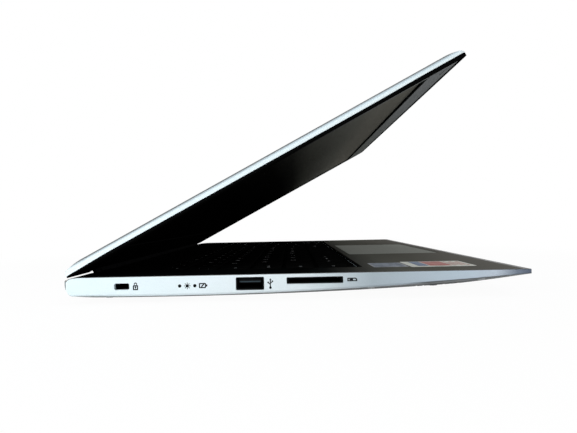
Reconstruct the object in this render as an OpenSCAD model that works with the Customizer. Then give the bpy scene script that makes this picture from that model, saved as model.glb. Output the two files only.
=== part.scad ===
// Slim 14-inch clamshell laptop computer, standing with its lid part open.
// X runs to the user's right, Y to the rear, Z up; the feet stand on z = 0.

/* [Base housing] */
// Width of the base
base_w = 326; // [318:1:344]
// Depth of the base from the front edge to the rear
base_d = 229.6; // [222:0.2:240]
// Thickness of the base at its middle, without feet
base_t = 11.8; // [11.4:0.1:13]
// Thickness of the rounded front edge
nose_t = 2.6; // [2.2:0.1:3.2]
// Radius of the upward sweep of the underside at the front
front_sweep_r = 50; // [40:5:140]
// Radius of the lower rear edge
rear_under_r = 11; // [9:0.5:11.4]
// Radius of the corners seen from above
corner_r = 2.5; // [2.3:0.1:5]
// Height of the side band where it is tallest
band_h = 9.5; // [9.2:0.1:10.5]
// Rise of the side band's lower edge from its lowest point to the front
band_rise = 7.38; // [6:0.02:8.4]
// Distance from the rear edge to the tallest place of the band
band_low_from_rear = 50.8; // [30:0.2:80]
// Slope of the underside behind the side band, in degrees
flank_slope = 12; // [9:0.5:13]
// Radius of the edge under the side band
band_edge_r = 1; // [0.6:0.1:1.6]
// Distance over which the deck falls away at the rear edge
rear_fall_d = 13; // [9:0.5:16]
// Radius of that fall
rear_fall_r = 72; // [35:1:80]
// Radius of the rear upper edge
rear_top_r = 2.5; // [1.5:0.1:3]
// Wall thickness of the side frame
frame_wall = 2; // [1.6:0.1:2.4]
// Thickness of the frame's shelf under the deck plate
shelf_t = 1; // [0.8:0.1:1.2]
// Depth of the solid front edge of the frame
nose_d = 6; // [5:0.5:7]
// Thickness of the bottom cover
cover_t = 1.5; // [1.2:0.1:1.7]
// Thickness of the rear wall beside the hinges
rear_wall_t = 1.3; // [1:0.1:1.6]
// Thickness of the deck plate
plate_t = 0.8; // [0.6:0.1:1]
// Width of the frame's rim around the deck plate
rim_w = 0.6; // [0.4:0.1:1]
// Assembly gap between housing parts
part_gap = 0.1; // [0.05:0.05:0.2]

/* [Keyboard] */
// Width of one key unit
key_pitch_x = 18.3; // [17.8:0.1:18.6]
// Depth of one key row
key_pitch_y = 18.2; // [17.8:0.1:18.6]
// Depth of the short function row
function_pitch_y = 12.4; // [11:0.2:13.4]
// Gap between two keycaps
key_gap = 2.6; // [2.2:0.1:3.2]
// Corner size of a keycap
key_corner = 1.2; // [0.8:0.1:1.8]
// Height of a keycap
key_h = 1.7; // [1.6:0.05:1.8]
// Travel of a key
key_travel = 1.3; // [1.1:0.05:1.35]
// Thickness of a keycap's top
key_top_t = 0.8; // [0.6:0.1:1]
// Thickness of a keycap's skirt
key_skirt_t = 1.1; // [0.9:0.1:1.4]
// Play between a keycap and its opening
key_play = 0.4; // [0.3:0.05:0.5]
// Distance from the front edge of the base to the first keycap
keys_from_front = 86.8; // [84:0.2:90]
// Border of the recess in front of the keys
well_front = 5.6; // [4:0.2:7]
// Border of the recess on its other sides
well_side = 1.6; // [1.2:0.1:2.4]
// Depth of the recess below the deck
well_depth = 0.9; // [0.85:0.05:1.1]
// Thickness of the keyboard's lattice
lattice_t = 1.5; // [1.2:0.1:1.6]
// Thickness of the steel keyboard plate
key_plate_t = 0.6; // [0.4:0.1:0.7]
// Overlap of the plate under the frame's shelf
key_plate_lap = 3; // [2.4:0.2:3.4]

/* [Touchpad] */
// Width of the touchpad
pad_w = 112; // [100:1:120]
// Depth of the touchpad
pad_d = 64; // [60:0.5:66]
// Distance from the front edge of the base to the touchpad
pad_from_front = 10.6; // [9:0.2:12]
// Offset of the touchpad's middle to the right
pad_offset = 3; // [-10:1:10]
// Thickness of the touchpad with its board
pad_t = 1.8; // [1.5:0.1:2]
// Gap around the touchpad
pad_gap = 0.5; // [0.4:0.05:0.7]
// Corner radius of the touchpad
pad_r = 2; // [1:0.5:4]

/* [Lid] */
// Angle between the lid and the deck as the laptop stands
lid_angle = 28; // [10:1:90]
// Thickness of the lid
lid_t = 4.9; // [4.8:0.1:5.4]
// Gap between the closed lid and the deck
lid_gap = 0.5; // [0.4:0.05:0.8]
// Height of the black bezel's edge
bezel_h = 1.6; // [1.4:0.1:1.8]
// Thickness of the bezel's face
bezel_t = 0.9; // [0.7:0.1:1]
// Width of the bezel's raised edge
bezel_rim_w = 1.6; // [1.2:0.1:2]
// Thickness of the lid cover
lid_skin_t = 1; // [0.8:0.1:1.2]
// Corner radius of the lid seen from above
lid_corner_r = 4; // [3:0.5:8]
// Radius of the lid cover's side edges
lid_edge_r = 3; // [2:0.2:3.4]
// Radius of the lid's fall towards its front edge
lid_front_r = 25; // [18:1:30]
// Depth of that fall
lid_front_fall = 12; // [9:0.5:13]
// Radius of the lid's fall towards its rear edge
lid_rear_r = 30; // [24:1:36]
// Depth of that fall
lid_rear_fall = 13.2; // [10:0.2:14]
// Radius of the lid's rear end
lid_tail_r = 3; // [2.4:0.1:3.4]
// Reach of the lid behind the hinge axis
lid_tail = 0.7; // [0.4:0.1:1]
// Bezel beside the picture
bezel_side = 8; // [8:0.5:12]
// Bezel between the picture and the lid's front edge
bezel_top = 21.85; // [16:0.05:24]
// Bezel between the picture and the hinge axis
bezel_bottom = 29.8; // [27:0.2:36]
// Margin of the display panel around the picture
panel_margin = 2.5; // [2:0.1:3]
// Extra panel height for its driver board below the picture
panel_foot = 8; // [5:0.5:9]
// Thickness of the display panel
panel_t = 2.7; // [2.4:0.1:2.8]
// Radius of the camera window
camera_r = 1.6; // [1.2:0.1:2]
// Height of a lid bumper above the bezel
bumper_h = 0.25; // [0.15:0.05:0.3]

/* [Hinge] */
// Height of the hinge axis below the deck
axis_drop = 5; // [4.8:0.1:5.4]
// Distance of the hinge axis from the rear edge
axis_from_rear = 3.95; // [3.5:0.05:4.1]
// Radius of the hinge pin
pin_r = 1.5; // [1.3:0.05:1.7]
// Running clearance of the pin, on the radius
pin_clear = 0.04; // [0.03:0.01:0.08]
// Outer radius of the hinge barrels
barrel_r = 3.1; // [2.8:0.1:3.3]
// Outer radius of the hinge cover
cover_r = 3.5; // [3.3:0.05:3.5]
// Gap between the turning parts and the housing
turn_gap = 0.6; // [0.5:0.05:0.8]
// Distance from the side of the base to the end of the black hinge cover
hinge_inset = 46; // [45:0.5:50]
// Length of one hinge barrel
barrel_l = 12; // [10:0.5:12]
// Thickness of the lid arm's neck
neck_t = 5.4; // [4:0.2:5.4]
// Gap along the hinge between its parts
hinge_gap = 0.4; // [0.3:0.05:0.5]
// Thickness of the hinge leaves
leaf_t = 1; // [0.8:0.1:1.1]
// Length of the leaf in the base
base_leaf_l = 26; // [20:1:28]
// Length of the leaf in the lid
lid_leaf_l = 16; // [12:0.5:18]

/* [Ports] */
// Distance from the rear edge to the lock slot
lock_from_rear = 28.8; // [26:0.1:34]
// Length of the lock slot
lock_w = 7.4; // [7:0.1:8]
// Height of the lock slot
lock_h = 3.2; // [3:0.1:3.6]
// Depth of the lock slot's middle below the deck
lock_drop = 4.8; // [4.4:0.1:5.2]
// Distance from the rear edge to the first status light
light_from_rear = 57.1; // [52:0.1:60]
// Distance between the status lights
light_pitch = 7.4; // [6:0.2:9]
// Radius of a status light
light_r = 0.65; // [0.5:0.05:0.9]
// Depth of the status lights below the deck
light_drop = 4.9; // [4.4:0.1:5.4]
// Width of a USB opening
usb_w = 13.8; // [13.6:0.1:14.2]
// Height of a USB opening
usb_h = 6.4; // [6.2:0.1:6.5]
// Distance from the rear edge to the left USB port's middle
usb_from_rear = 91.4; // [88:0.1:94]
// Width of the card slot
card_w = 27.6; // [26.5:0.1:28.5]
// Height of the card slot
card_h = 3.3; // [3:0.1:3.4]
// Distance from the rear edge to the card slot's middle
card_from_rear = 123.1; // [119:0.1:126]
// Depth of the card reader
card_depth = 18; // [15:0.5:18.5]
// Depth of the top of the ports below the deck
port_top = 1.3; // [1.2:0.05:1.4]
// Distance from the rear edge to the power socket
power_from_rear = 27.8; // [25:0.1:30]
// Outer radius of the power socket's opening
power_r = 2.9; // [2.6:0.1:3]
// Radius of the power plug's barrel
power_bore_r = 2.05; // [2:0.05:2.3]
// Radius of the contact pin in the power socket
power_pin_r = 0.5; // [0.4:0.05:0.6]
// Distance from the rear edge to the HDMI port
hdmi_from_rear = 48.8; // [46:0.1:50]
// Width of the HDMI opening
hdmi_w = 15; // [14.8:0.1:15.4]
// Height of the HDMI opening
hdmi_h = 5.6; // [5.4:0.1:5.8]
// Distance from the rear edge to the right USB port
usb_right_from_rear = 71.8; // [69:0.1:74]
// Distance from the rear edge to the USB-C port
usb_c_from_rear = 92.8; // [90:0.1:96]
// Width of the USB-C opening
usb_c_w = 9.2; // [9:0.1:9.6]
// Height of the USB-C opening
usb_c_h = 3.4; // [3.2:0.1:3.6]
// Distance from the rear edge to the headset socket
audio_from_rear = 110.8; // [107:0.1:114]
// Radius of the headset socket's bore
audio_r = 1.8; // [1.75:0.01:1.85]
// Outer radius of the headset socket's collar
audio_collar_r = 2.7; // [2.5:0.1:2.8]
// Depth of a USB receptacle
usb_depth = 18; // [16:0.5:19]
// Depth of the other sockets
socket_depth = 16; // [14:0.5:17]
// Wall of a socket's metal shell
shell_t = 0.4; // [0.3:0.05:0.5]

/* [Inside] */
// Thickness of a circuit board
board_t = 1.2; // [1:0.1:1.3]
// Distance of the boards' outer edges from the side faces
board_inset = 14; // [13:0.5:15]
// Diameter of the fan impeller
fan_d = 44; // [40:1:46]
// Number of fan blades
fan_blades = 29; // [21:2:35]
// Height of the fan housing
fan_h = 5.4; // [5:0.1:5.5]
// Wall of the fan housing
fan_wall = 0.8; // [0.6:0.1:1]
// Radius of the fan's shaft
fan_shaft_r = 1; // [0.8:0.05:1.2]
// Distance from the side of the base to the battery
battery_inset = 50; // [48:1:60]
// Depth of the battery
battery_d = 45; // [40:0.5:46]
// Thickness of the battery
battery_t = 4.8; // [4:0.1:5]
// Number of battery cells side by side
battery_cells = 3; // [2:1:4]
// Width of a speaker box
speaker_w = 22; // [18:0.5:22]
// Length of a speaker box
speaker_l = 40; // [34:1:44]
// Distance from the front edge to a speaker box
speaker_from_front = 20.8; // [20:0.2:26]
// Height of the feet
foot_h = 1.2; // [1:0.1:2]
// Length of a foot
foot_l = 44; // [30:1:50]
// Width of a foot
foot_w = 7; // [5:0.5:9]
// Radius of a bottom screw's head
screw_head_r = 2.2; // [1.9:0.1:2.4]
// Height of a bottom screw's head
screw_head_h = 0.7; // [0.6:0.05:0.8]
// Radius of a bottom screw's shank
screw_r = 0.9; // [0.8:0.05:1]
// Radius of the screw bosses
boss_r = 2.8; // [2.6:0.1:3.2]
// Radius of a hinge screw's shank
hinge_screw_r = 1; // [0.8:0.1:1.1]
// Radius of a hinge screw's head
hinge_head_r = 2; // [1.7:0.1:2.2]
// Height of a hinge screw's head
hinge_head_h = 0.6; // [0.5:0.05:0.7]

/* [Hidden] */
$fn = 48;
deck_z = base_t + foot_h;
half_w = base_w / 2;
cover_half = half_w - hinge_inset;
screen_w = base_w - 2 * bezel_side;
rear_y = base_d / 2;
front_y = -base_d / 2;
seam_y = rear_y - rear_wall_t - part_gap;
axis_y = rear_y - axis_from_rear;
nose_r = nose_t / 2;
sweep_rise = base_t - nose_t;
front_flat_y = front_y + nose_r + sqrt(sweep_rise * (2 * front_sweep_r - sweep_rise));
rear_flat_y = rear_y - rear_under_r;
sweep_y = rear_y - band_low_from_rear;
band_sweep_r = (pow(sweep_y - front_y, 2) + pow(band_rise, 2)) / (2 * band_rise);
shelf_z = -plate_t - shelf_t;
cover_in_z = -base_t + cover_t;
well_z = -well_depth;
lattice_z = well_z - lattice_t;
key_low_z = -key_h;
key_plate_z = key_low_z - key_travel - 0.2;
keys_w = 15 * key_pitch_x;
keys_d = 5 * key_pitch_y + function_pitch_y;
keys_front = front_y + keys_from_front;
keys_rear = keys_front + keys_d - key_gap;
well_front_y = keys_front - well_front;
well_rear_y = keys_rear + well_side;
well_half_w = (keys_w - key_gap) / 2 + well_side;
pad_front_y = front_y + pad_from_front;
pad_rear_y = pad_front_y + pad_d;
pad_z = -0.15;
notch_r = cover_r + turn_gap;
notch_y = axis_y - notch_r;
neck_x = cover_half + 2 * hinge_gap + barrel_l;
notch_half = neck_x + neck_t + turn_gap;
bay_y = notch_y - rear_wall_t;
lid_low = axis_drop + lid_gap;
lid_high = lid_low + lid_t;
lid_seam = lid_low + bezel_h;
lid_front = front_y - axis_y;
lid_d = lid_tail - lid_front;
panel_z = lid_low + bezel_t + 0.05;
screen_front = lid_front + bezel_top;
screen_rear = -bezel_bottom;
screen_h = screen_rear - screen_front;
board_top = -port_top - usb_h;
board_z = board_top - board_t;
inner_half = half_w - frame_wall;
fan_y = bay_y - 12 - fan_d / 2;
fan_top = key_plate_z - key_plate_t - 0.4;
fan_box = fan_d + 10;
bracket_x = cover_half + hinge_gap;
fan_x = fan_box / 2 + 0.6 - bracket_x - 1;
cpu = [fan_x + fan_box + 50, bay_y - 58];
fan_low = fan_top - fan_h;
fin_y = fan_y + fan_box / 2 + 0.4;
pipe_z = board_top + 1.85;
battery_top = pad_z - pad_t - 1.2;
battery_w = base_w - 2 * battery_inset;
speaker_x = inner_half - 13.2 - boss_r - speaker_w / 2;
speaker_y = front_y + speaker_from_front + speaker_l / 2;
battery_rear = well_front_y - key_plate_lap - 1;
card_z = -port_top - card_h / 2 - 0.5;
leaf_x = bracket_x + barrel_l / 2 + 3;
base_leaf_top = -axis_drop - 0.5;
base_leaf_holes = [bay_y - 8, bay_y - base_leaf_l + 5];
lid_leaf_low = lid_seam + 0.15;
lid_leaf_holes = [neck_x - 4, neck_x - 11];
lid_hole_y = -lid_leaf_l + 3;
screw_spots = [for (s = [-1, 1]) each [
    [s * (inner_half - 8), front_y + 22],
    [pad_offset + s * (pad_w / 2 + 8), front_y + 14],
    [s * (inner_half - 8), rear_y - card_from_rear - card_w / 2 - boss_r - 12],
    [s * (inner_half - 8), bay_y - 10],
    [s * 30, bay_y - 14]]];
board_posts = [[fan_x + fan_box / 2 + 9, well_front_y + 10], [cpu[0] + 28, well_front_y + 36],
    [fan_x + fan_box / 2 + 24, bay_y - 26], [cpu[0] + 48, bay_y - 26],
    [half_w - board_inset - 6, rear_y - usb_from_rear], [-half_w + board_inset + 8, rear_y - card_from_rear],
    [-half_w + board_inset + 8, rear_y - light_from_rear - 10]];

// ---- helpers -------------------------------------------------------------

// Depth of the underside below the deck, at a distance y from the middle
function under_z(y) = y > front_flat_y ? -base_t
    : front_sweep_r - base_t - sqrt(pow(front_sweep_r, 2) - pow(front_flat_y - y, 2));

// Depth of the side band's lower edge below the deck
function band_z(y) = band_sweep_r - band_h - sqrt(pow(band_sweep_r, 2) - pow(y - sweep_y, 2));

// Depth of the outer skin at a place p = [x, y] of the underside
function skin_z(p) = max(under_z(p[1]), band_z(p[1]) - (half_w - abs(p[0])) * tan(flank_slope));

// Flat rounded rectangle about the origin
module rounded(w, d, r) {
    square([w - 2 * r, d], center = true);
    square([w, d - 2 * r], center = true);
    for (x = [-1, 1], y = [-1, 1])
        translate([x * (w / 2 - r), y * (d / 2 - r)])
            circle(r);
}

// Rounded plate from z0 up to z1
module slab(w, d, r, z0, z1) {
    translate([0, 0, z0])
        linear_extrude(height = z1 - z0)
            rounded(w, d, r);
}

// Box from one corner to the other
module block(a, b) {
    translate(a)
        cube(b - a);
}

// A profile drawn in Y and Z, extruded along X
module along_x(w) {
    rotate([90, 0, 90])
        linear_extrude(height = w, center = true)
            children();
}

// A profile drawn in X and Z, extruded along Y
module along_y(d) {
    rotate([90, 0, 0])
        linear_extrude(height = d, center = true)
            children();
}

// Round bar along X from x0 to x1
module bar(r, x0, x1, y, z) {
    translate([x0, y, z])
        rotate([0, 90, 0])
            cylinder(r = r, h = x1 - x0);
}

// Lifts what is drawn from the deck's height to its place above the table
module at_deck() {
    translate([0, 0, deck_z])
        children();
}

// Turns what is drawn about the hinge axis, as closed, to the opened lid
module at_lid() {
    translate([0, axis_y, deck_z - axis_drop])
        rotate([-lid_angle, 0, 0])
            children();
}

// ---- base housing --------------------------------------------------------

// Side outline of the space above the underside, which is lifted by a wall
module under_profile(lift) {
    low = lift - base_t;
    intersection() {
        translate([front_y + nose_r, low])
            square([base_d - nose_r, base_t + 10]);
        union() {
            translate([front_flat_y, low])
                square([base_d, base_t + 10]);
            translate([front_flat_y, low + front_sweep_r])
                circle(front_sweep_r, $fn = 240);
        }
        union() {
            translate([front_y, low])
                square([base_d - rear_under_r, base_t + 10]);
            translate([front_y, low + rear_under_r])
                square([base_d, base_t + 10]);
            translate([rear_flat_y, low + rear_under_r])
                circle(rear_under_r, $fn = 96);
        }
    }
}

// Side outline of the space below the deck, which is lowered by a plate
module deck_profile(drop) {
    fall_y = rear_y - rear_fall_d;
    end_y = rear_y - rear_top_r;
    end_z = -rear_fall_r + sqrt(pow(rear_fall_r - rear_top_r, 2) - pow(end_y - fall_y, 2));
    translate([0, -drop])
        intersection() {
            translate([front_y - 1, -base_t - 5])
                square([base_d + 1, base_t + 5]);
            union() {
                translate([front_y - 1, -base_t - 5])
                    square([fall_y - front_y + 1, base_t + 6]);
                translate([fall_y, -rear_fall_r])
                    circle(rear_fall_r, $fn = 180);
            }
            union() {
                translate([front_y - 1, -base_t - 5])
                    square([end_y - front_y + 1, base_t + 6]);
                translate([front_y - 1, -base_t - 5])
                    square([base_d + 1, base_t + 5 + end_z]);
                translate([end_y, end_z])
                    circle(rear_top_r);
            }
        }
}

// Side outline of the whole base
module side_profile() {
    intersection() {
        under_profile(0);
        deck_profile(0);
    }
    translate([front_y + nose_r, -nose_r])
        circle(nose_r);
}

// Space between the two flanks: upright bands that curve up towards the front,
// with the sloping underside behind them
module flank_space(lift) {
    reach = base_t;
    t = band_edge_r * tan((90 - flank_slope) / 2);
    span = asin((base_d + 20) / band_sweep_r);
    translate([0, sweep_y, band_sweep_r - band_h + lift])
        rotate([0, 90, 0])
            rotate([0, 0, -span])
                rotate_extrude(angle = 2 * span, $fn = 720)
                    for (s = [0, 1])
                        mirror([0, s]) {
                            polygon([
                                [band_sweep_r - 25, 0],
                                [band_sweep_r - 25, half_w],
                                [band_sweep_r - t, half_w],
                                [band_sweep_r - t, half_w - band_edge_r],
                                [band_sweep_r + t * sin(flank_slope), half_w - t * cos(flank_slope)],
                                [band_sweep_r + reach, half_w - reach / tan(flank_slope)],
                                [band_sweep_r + reach, 0]]);
                            translate([band_sweep_r - t, half_w - band_edge_r])
                                circle(band_edge_r);
                        }
}

// Whole outer form of the base
module base_form() {
    intersection() {
        along_x(base_w + 2)
            side_profile();
        slab(base_w, base_d, corner_r, -base_t - 5, 5);
        flank_space(0);
    }
}

// Open place at the rear for the hinges and their cover
module hinge_notch(grow = 0) {
    bar(notch_r + grow, -notch_half - grow, notch_half + grow, axis_y, -axis_drop);
    block([-notch_half - grow, notch_y - grow, -axis_drop], [notch_half + grow, rear_y + 5, 5]);
    block([-notch_half - grow, axis_y, -base_t - 5], [notch_half + grow, rear_y + 5, 5]);
}

// Plan of the room inside the side walls
module bay(z0, z1, gap = 0) {
    half = inner_half - gap;
    r = corner_r - frame_wall;
    back = seam_y - gap;
    front = front_y + nose_d + gap;
    translate([0, (front + back) / 2, 0])
        slab(2 * half, back - front, r, z0, z1);
}

// Outline of the keyboard's recess
module well_cut(z0, z1, gap = 0) {
    block([-well_half_w + gap, well_front_y + gap, z0], [well_half_w - gap, well_rear_y - gap, z1]);
}

// Outline of the touchpad or of its opening
module pad_outline(z0, z1, grow = 0) {
    translate([pad_offset, (pad_front_y + pad_rear_y) / 2, 0])
        slab(pad_w + 2 * grow, pad_d + 2 * grow, pad_r, z0, z1);
}

// Outline of the deck plate
module plate_outline(z0, z1) {
    front = front_y + 4;
    back = seam_y;
    translate([0, (front + back) / 2, 0])
        slab(base_w - 2 * rim_w, back - front, corner_r - rim_w, z0, z1);
}

// Bottom cover: a tray that follows the underside, with the rear wall beside the hinges
module bottom_cover() {
    color("silver")
        at_deck()
            difference() {
                union() {
                    cover_skin();
                    cover_posts();
                }
                hinge_notch();
                intake_slots();
                speaker_slots();
                for (p = screw_spots)
                    translate([p[0], p[1], skin_z(p) - 2]) {
                        cylinder(r = screw_head_r + part_gap, h = 2 + screw_head_h + part_gap);
                        cylinder(r = screw_r + 0.15, h = 7);
                    }
            }
}

// The cover's skin: floor, rising flanks and rear wall in one
module cover_skin() {
    difference() {
        intersection() {
            base_form();
            union() {
                bay(-base_t - 5, shelf_z - part_gap, part_gap);
                block([-inner_half + corner_r, seam_y - 5, -base_t - 5], [inner_half - corner_r, rear_y, 5]);
                block([-half_w - 1, seam_y + part_gap, -base_t - 5], [half_w + 1, rear_y + 1, 5]);
            }
        }
        intersection() {
            block([-half_w, front_y, -base_t], [half_w, seam_y + part_gap, 5]);
            along_x(base_w)
                under_profile(cover_t);
            flank_space(cover_t);
        }
    }
}

// Posts and ribs inside the cover that carry the boards, the fan and the battery
module cover_posts() {
    low = cover_in_z - cover_t / 2;
    for (p = board_posts)
        translate([p[0], p[1], low])
            cylinder(r = 2.4, h = board_z - part_gap - low);
    for (x = [-1, 1], y = [-0.3, 0.45])
        translate([fan_x + x * (fan_box / 2 - 3), fan_y + y * fan_box, low])
            cylinder(r = 2, h = fan_low - part_gap - low);
    for (x = [-0.4, 0, 0.4])
        block([x * battery_w - 12, battery_rear - 14, low],
            [x * battery_w + 12, battery_rear - 12, battery_top - battery_t - part_gap]);
}

// Slots under the fan
module intake_slots() {
    for (i = [-3:3], j = [-1, 0, 1])
        translate([fan_x + i * 5, fan_y + j * 12.5 - 2, -base_t])
            linear_extrude(height = 8, center = true)
                rounded(2.2, 10, 1);
}

// Slots under each speaker
module speaker_slots() {
    for (s = [-1, 1], i = [0:6])
        translate([s * speaker_x, speaker_y - 4 + (i - 3) * 4.2, -base_t])
            linear_extrude(height = 14, center = true)
                rounded(speaker_w * 0.6, 1.6, 0.7);
}

// Side frame: silver side walls, front edge and the shelf under the deck plate
module side_frame() {
    color("gainsboro")
        at_deck()
            difference() {
                union() {
                    difference() {
                        intersection() {
                            base_form();
                            block([-half_w - 1, front_y - 1, -base_t - 5], [half_w + 1, seam_y, 5]);
                        }
                        difference() {
                            plate_outline(-base_t, 5);
                            along_x(base_w + 4)
                                deck_profile(plate_t);
                        }
                        intersection() {
                            bay(-base_t - 5, 0);
                            under_shelf();
                        }
                    }
                    frame_inside();
                    pad_tabs();
                }
                hinge_notch();
                well_cut(-base_t - 5, 5);
                pad_outline(pad_z - pad_t - part_gap, 5, pad_gap);
                exhaust_slots();
                leaf_slots();
                left_openings();
                right_openings();
                for (p = screw_spots)
                    translate([p[0], p[1], skin_z(p) + 1])
                        cylinder(r = screw_r + 0.05, h = 4);
                for (x = [-leaf_x, leaf_x], y = base_leaf_holes)
                    translate([x, y, base_leaf_top - 1])
                        cylinder(r = hinge_screw_r + 0.05, h = 3);
            }
}

// Walls round the hinge bay, the keyboard's seat and the screw bosses
module frame_inside() {
    intersection() {
        union() {
            block([-notch_half - rear_wall_t, bay_y, -base_t], [notch_half + rear_wall_t, seam_y, 0]);
            block([-well_half_w - key_plate_lap, well_front_y - key_plate_lap, key_plate_z],
                [well_half_w + key_plate_lap, well_rear_y + key_plate_lap, 0]);
            for (p = screw_spots)
                translate([p[0], p[1], -base_t])
                    cylinder(r = boss_r, h = base_t);
            for (x = [-leaf_x, leaf_x], y = base_leaf_holes)
                translate([x, y, base_leaf_top])
                    cylinder(r = hinge_head_r + 0.4, h = -base_leaf_top);
        }
        bay(-base_t, 0, part_gap / 2);
        along_x(base_w)
            under_profile(cover_t + part_gap / 2);
        flank_space(cover_t + part_gap / 2);
        under_shelf();
    }
}

// Space under the frame's shelf
module under_shelf() {
    along_x(base_w + 2)
        deck_profile(plate_t + shelf_t);
}

// Tabs of the shelf that the touchpad's rear edge tilts on
module pad_tabs() {
    for (x = [-0.3, 0.3])
        translate([pad_offset + x * pad_w, pad_rear_y, 0])
            block([-10, -5, pad_z - pad_t - 0.8], [10, 2.5, shelf_z + shelf_t / 2]);
}

// Slots for warm air from the cooling fins into the hinge bay
module exhaust_slots() {
    for (i = [-9:9])
        block([fan_x + i * 3 - 1, bay_y - 1, cover_in_z + 1.4], [fan_x + i * 3 + 1, notch_y + 1, -3.2]);
}

// Slots in the bay's wall for the hinge brackets' leaves
module leaf_slots() {
    for (s = [0, 1])
        mirror([s, 0, 0])
            block([bracket_x + 0.8, bay_y - 1, base_leaf_top - leaf_t - 0.1],
                [bracket_x + barrel_l - 0.8, notch_y + 1, base_leaf_top + 0.1]);
}

// Openings in the left side wall
module left_openings() {
    side_slot(-1, rear_y - lock_from_rear, -lock_drop, lock_w, lock_h, 0.9, frame_wall + 1);
    for (i = [0, 1])
        bar(light_r + 0.05, -half_w - 1, -inner_half + 1, light_y(i), -light_drop);
    side_slot(-1, rear_y - usb_from_rear, -port_top - usb_h / 2, usb_w, usb_h, 0.5, usb_depth + 1);
    side_slot(-1, rear_y - card_from_rear, card_z, card_w, card_h, 0.4, card_depth + 1);
}

// Openings in the right side wall
module right_openings() {
    bar(power_r + 0.05, inner_half - 6, half_w + 1, rear_y - power_from_rear, power_z());
    side_slot(1, rear_y - hdmi_from_rear, board_top + hdmi_h / 2, hdmi_w, hdmi_h, 0.5, socket_depth + 1);
    side_slot(1, rear_y - usb_right_from_rear, board_top + usb_h / 2, usb_w, usb_h, 0.5, usb_depth + 1);
    side_slot(1, rear_y - usb_c_from_rear, board_top + usb_c_h / 2, usb_c_w, usb_c_h, usb_c_h / 2 - 0.1,
        socket_depth + 1);
    bar(audio_collar_r + 0.05, inner_half - 6, half_w + 1, rear_y - audio_from_rear, audio_z());
}

function light_y(i) = rear_y - light_from_rear - i * light_pitch;
function power_z() = board_top + power_r + 0.3;
function audio_z() = board_top + audio_collar_r + 0.3;

// Rounded slot cut inwards from a side wall; side is -1 on the left, 1 on the right
module side_slot(side, y, z, w, h, r, depth) {
    translate([side * (half_w - depth / 2 + 0.5), y, z])
        along_x(depth + 1)
            rounded(w, h, r);
}

// Dark deck plate, let into the frame, falling away at the rear with it
module deck_plate() {
    color("dimgray")
        at_deck()
            difference() {
                intersection() {
                    base_form();
                    plate_outline(-base_t, 5);
                }
                along_x(base_w + 4)
                    deck_profile(plate_t);
                hinge_notch();
                well_cut(-5, 5);
                pad_outline(-5, 5, pad_gap);
            }
}

// ---- keyboard ------------------------------------------------------------

// Left edge, width and row of keys, in key units: [x, width, row]; row 0 is the front one
function key_row(row, first, widths) = [for (i = [0:len(widths) - 1])
    [first + sum_before(widths, i), widths[i], row]];
function sum_before(list, n) = n == 0 ? 0 : list[n - 1] + sum_before(list, n - 1);
function ones(n) = [for (i = [1:n]) 1];

ctrl_left = key_row(0, 0, [1.4]);
fn = key_row(0, 1.4, [1]);
menu = key_row(0, 2.4, [1]);
alt_left = key_row(0, 3.4, [1.1]);
space = key_row(0, 4.5, [5]);
alt_right = key_row(0, 9.5, [1]);
ctrl_right = key_row(0, 10.5, [1.5]);
arrows = key_row(0, 12, [1, 1, 1]);
shift_left = key_row(1, 0, [2.25]);
lower_row = key_row(1, 2.25, ones(10));
shift_right = key_row(1, 12.25, [2.75]);
caps_lock = key_row(2, 0, [1.75]);
home_row = key_row(2, 1.75, ones(11));
enter = key_row(2, 12.75, [2.25]);
tab = key_row(3, 0, [1.5]);
upper_row = key_row(3, 1.5, [1, 1, 1, 1, 1, 1, 1, 1, 1, 1, 1, 1, 1.5]);
number_row = key_row(4, 0, ones(13));
backspace = key_row(4, 13, [2]);
escape = key_row(5, 0, [1]);
function_row = key_row(5, 1, ones(13));
power_key = key_row(5, 14, [1]);
full_keys = concat(ctrl_left, fn, menu, alt_left, space, alt_right, ctrl_right, [arrows[1]], shift_left,
    lower_row, shift_right, caps_lock, home_row, enter, tab, upper_row, number_row, backspace, escape,
    function_row, power_key);

function key_left(k) = k[0] * key_pitch_x - keys_w / 2 + key_gap / 2;
function key_width(k) = k[1] * key_pitch_x - key_gap;
function key_front(k) = keys_front + k[2] * key_pitch_y;
function key_depth(k) = (k[2] == 5 ? function_pitch_y : key_pitch_y) - key_gap;
function half_depth(k) = key_depth(k) / 2 - key_gap / 4;

// Plan of one keycap, grown all round by a play; its corners are cut in three flats
module key_plan(w, d, grow = 0) {
    r = key_corner + grow;
    translate([w / 2, d / 2]) {
        square([w + 2 * grow - 2 * r, d + 2 * grow], center = true);
        square([w + 2 * grow, d + 2 * grow - 2 * r], center = true);
        for (x = [-1, 1], y = [-1, 1])
            translate([x * (w / 2 + grow - r), y * (d / 2 + grow - r)])
                circle(r, $fn = 12);
    }
}

// One keycap with its hollow underside, guide cross and plunger
module keycap(x, y, w, d) {
    at_deck()
        translate([x, y, key_low_z]) {
            difference() {
                linear_extrude(height = key_h)
                    key_plan(w, d);
                translate([key_skirt_t, key_skirt_t, -1])
                    cube([w - 2 * key_skirt_t, d - 2 * key_skirt_t, 1 + key_h - key_top_t]);
            }
            translate([w / 2 - 0.5, key_skirt_t / 2, 0])
                cube([1, d - key_skirt_t, key_h - key_top_t / 2]);
            translate([key_skirt_t / 2, d / 2 - 0.5, 0])
                cube([w - key_skirt_t, 1, key_h - key_top_t / 2]);
        }
}

module keys(list) {
    color([0.12, 0.12, 0.13])
        for (k = list)
            keycap(key_left(k), key_front(k), key_width(k), key_depth(k));
}

// Half-height arrow key; step 0 is the lower one, 1 the upper one
module half_key(k, step) {
    color([0.12, 0.12, 0.13])
        keycap(key_left(k), key_front(k) + step * (half_depth(k) + key_gap / 2), key_width(k), half_depth(k));
}

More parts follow.
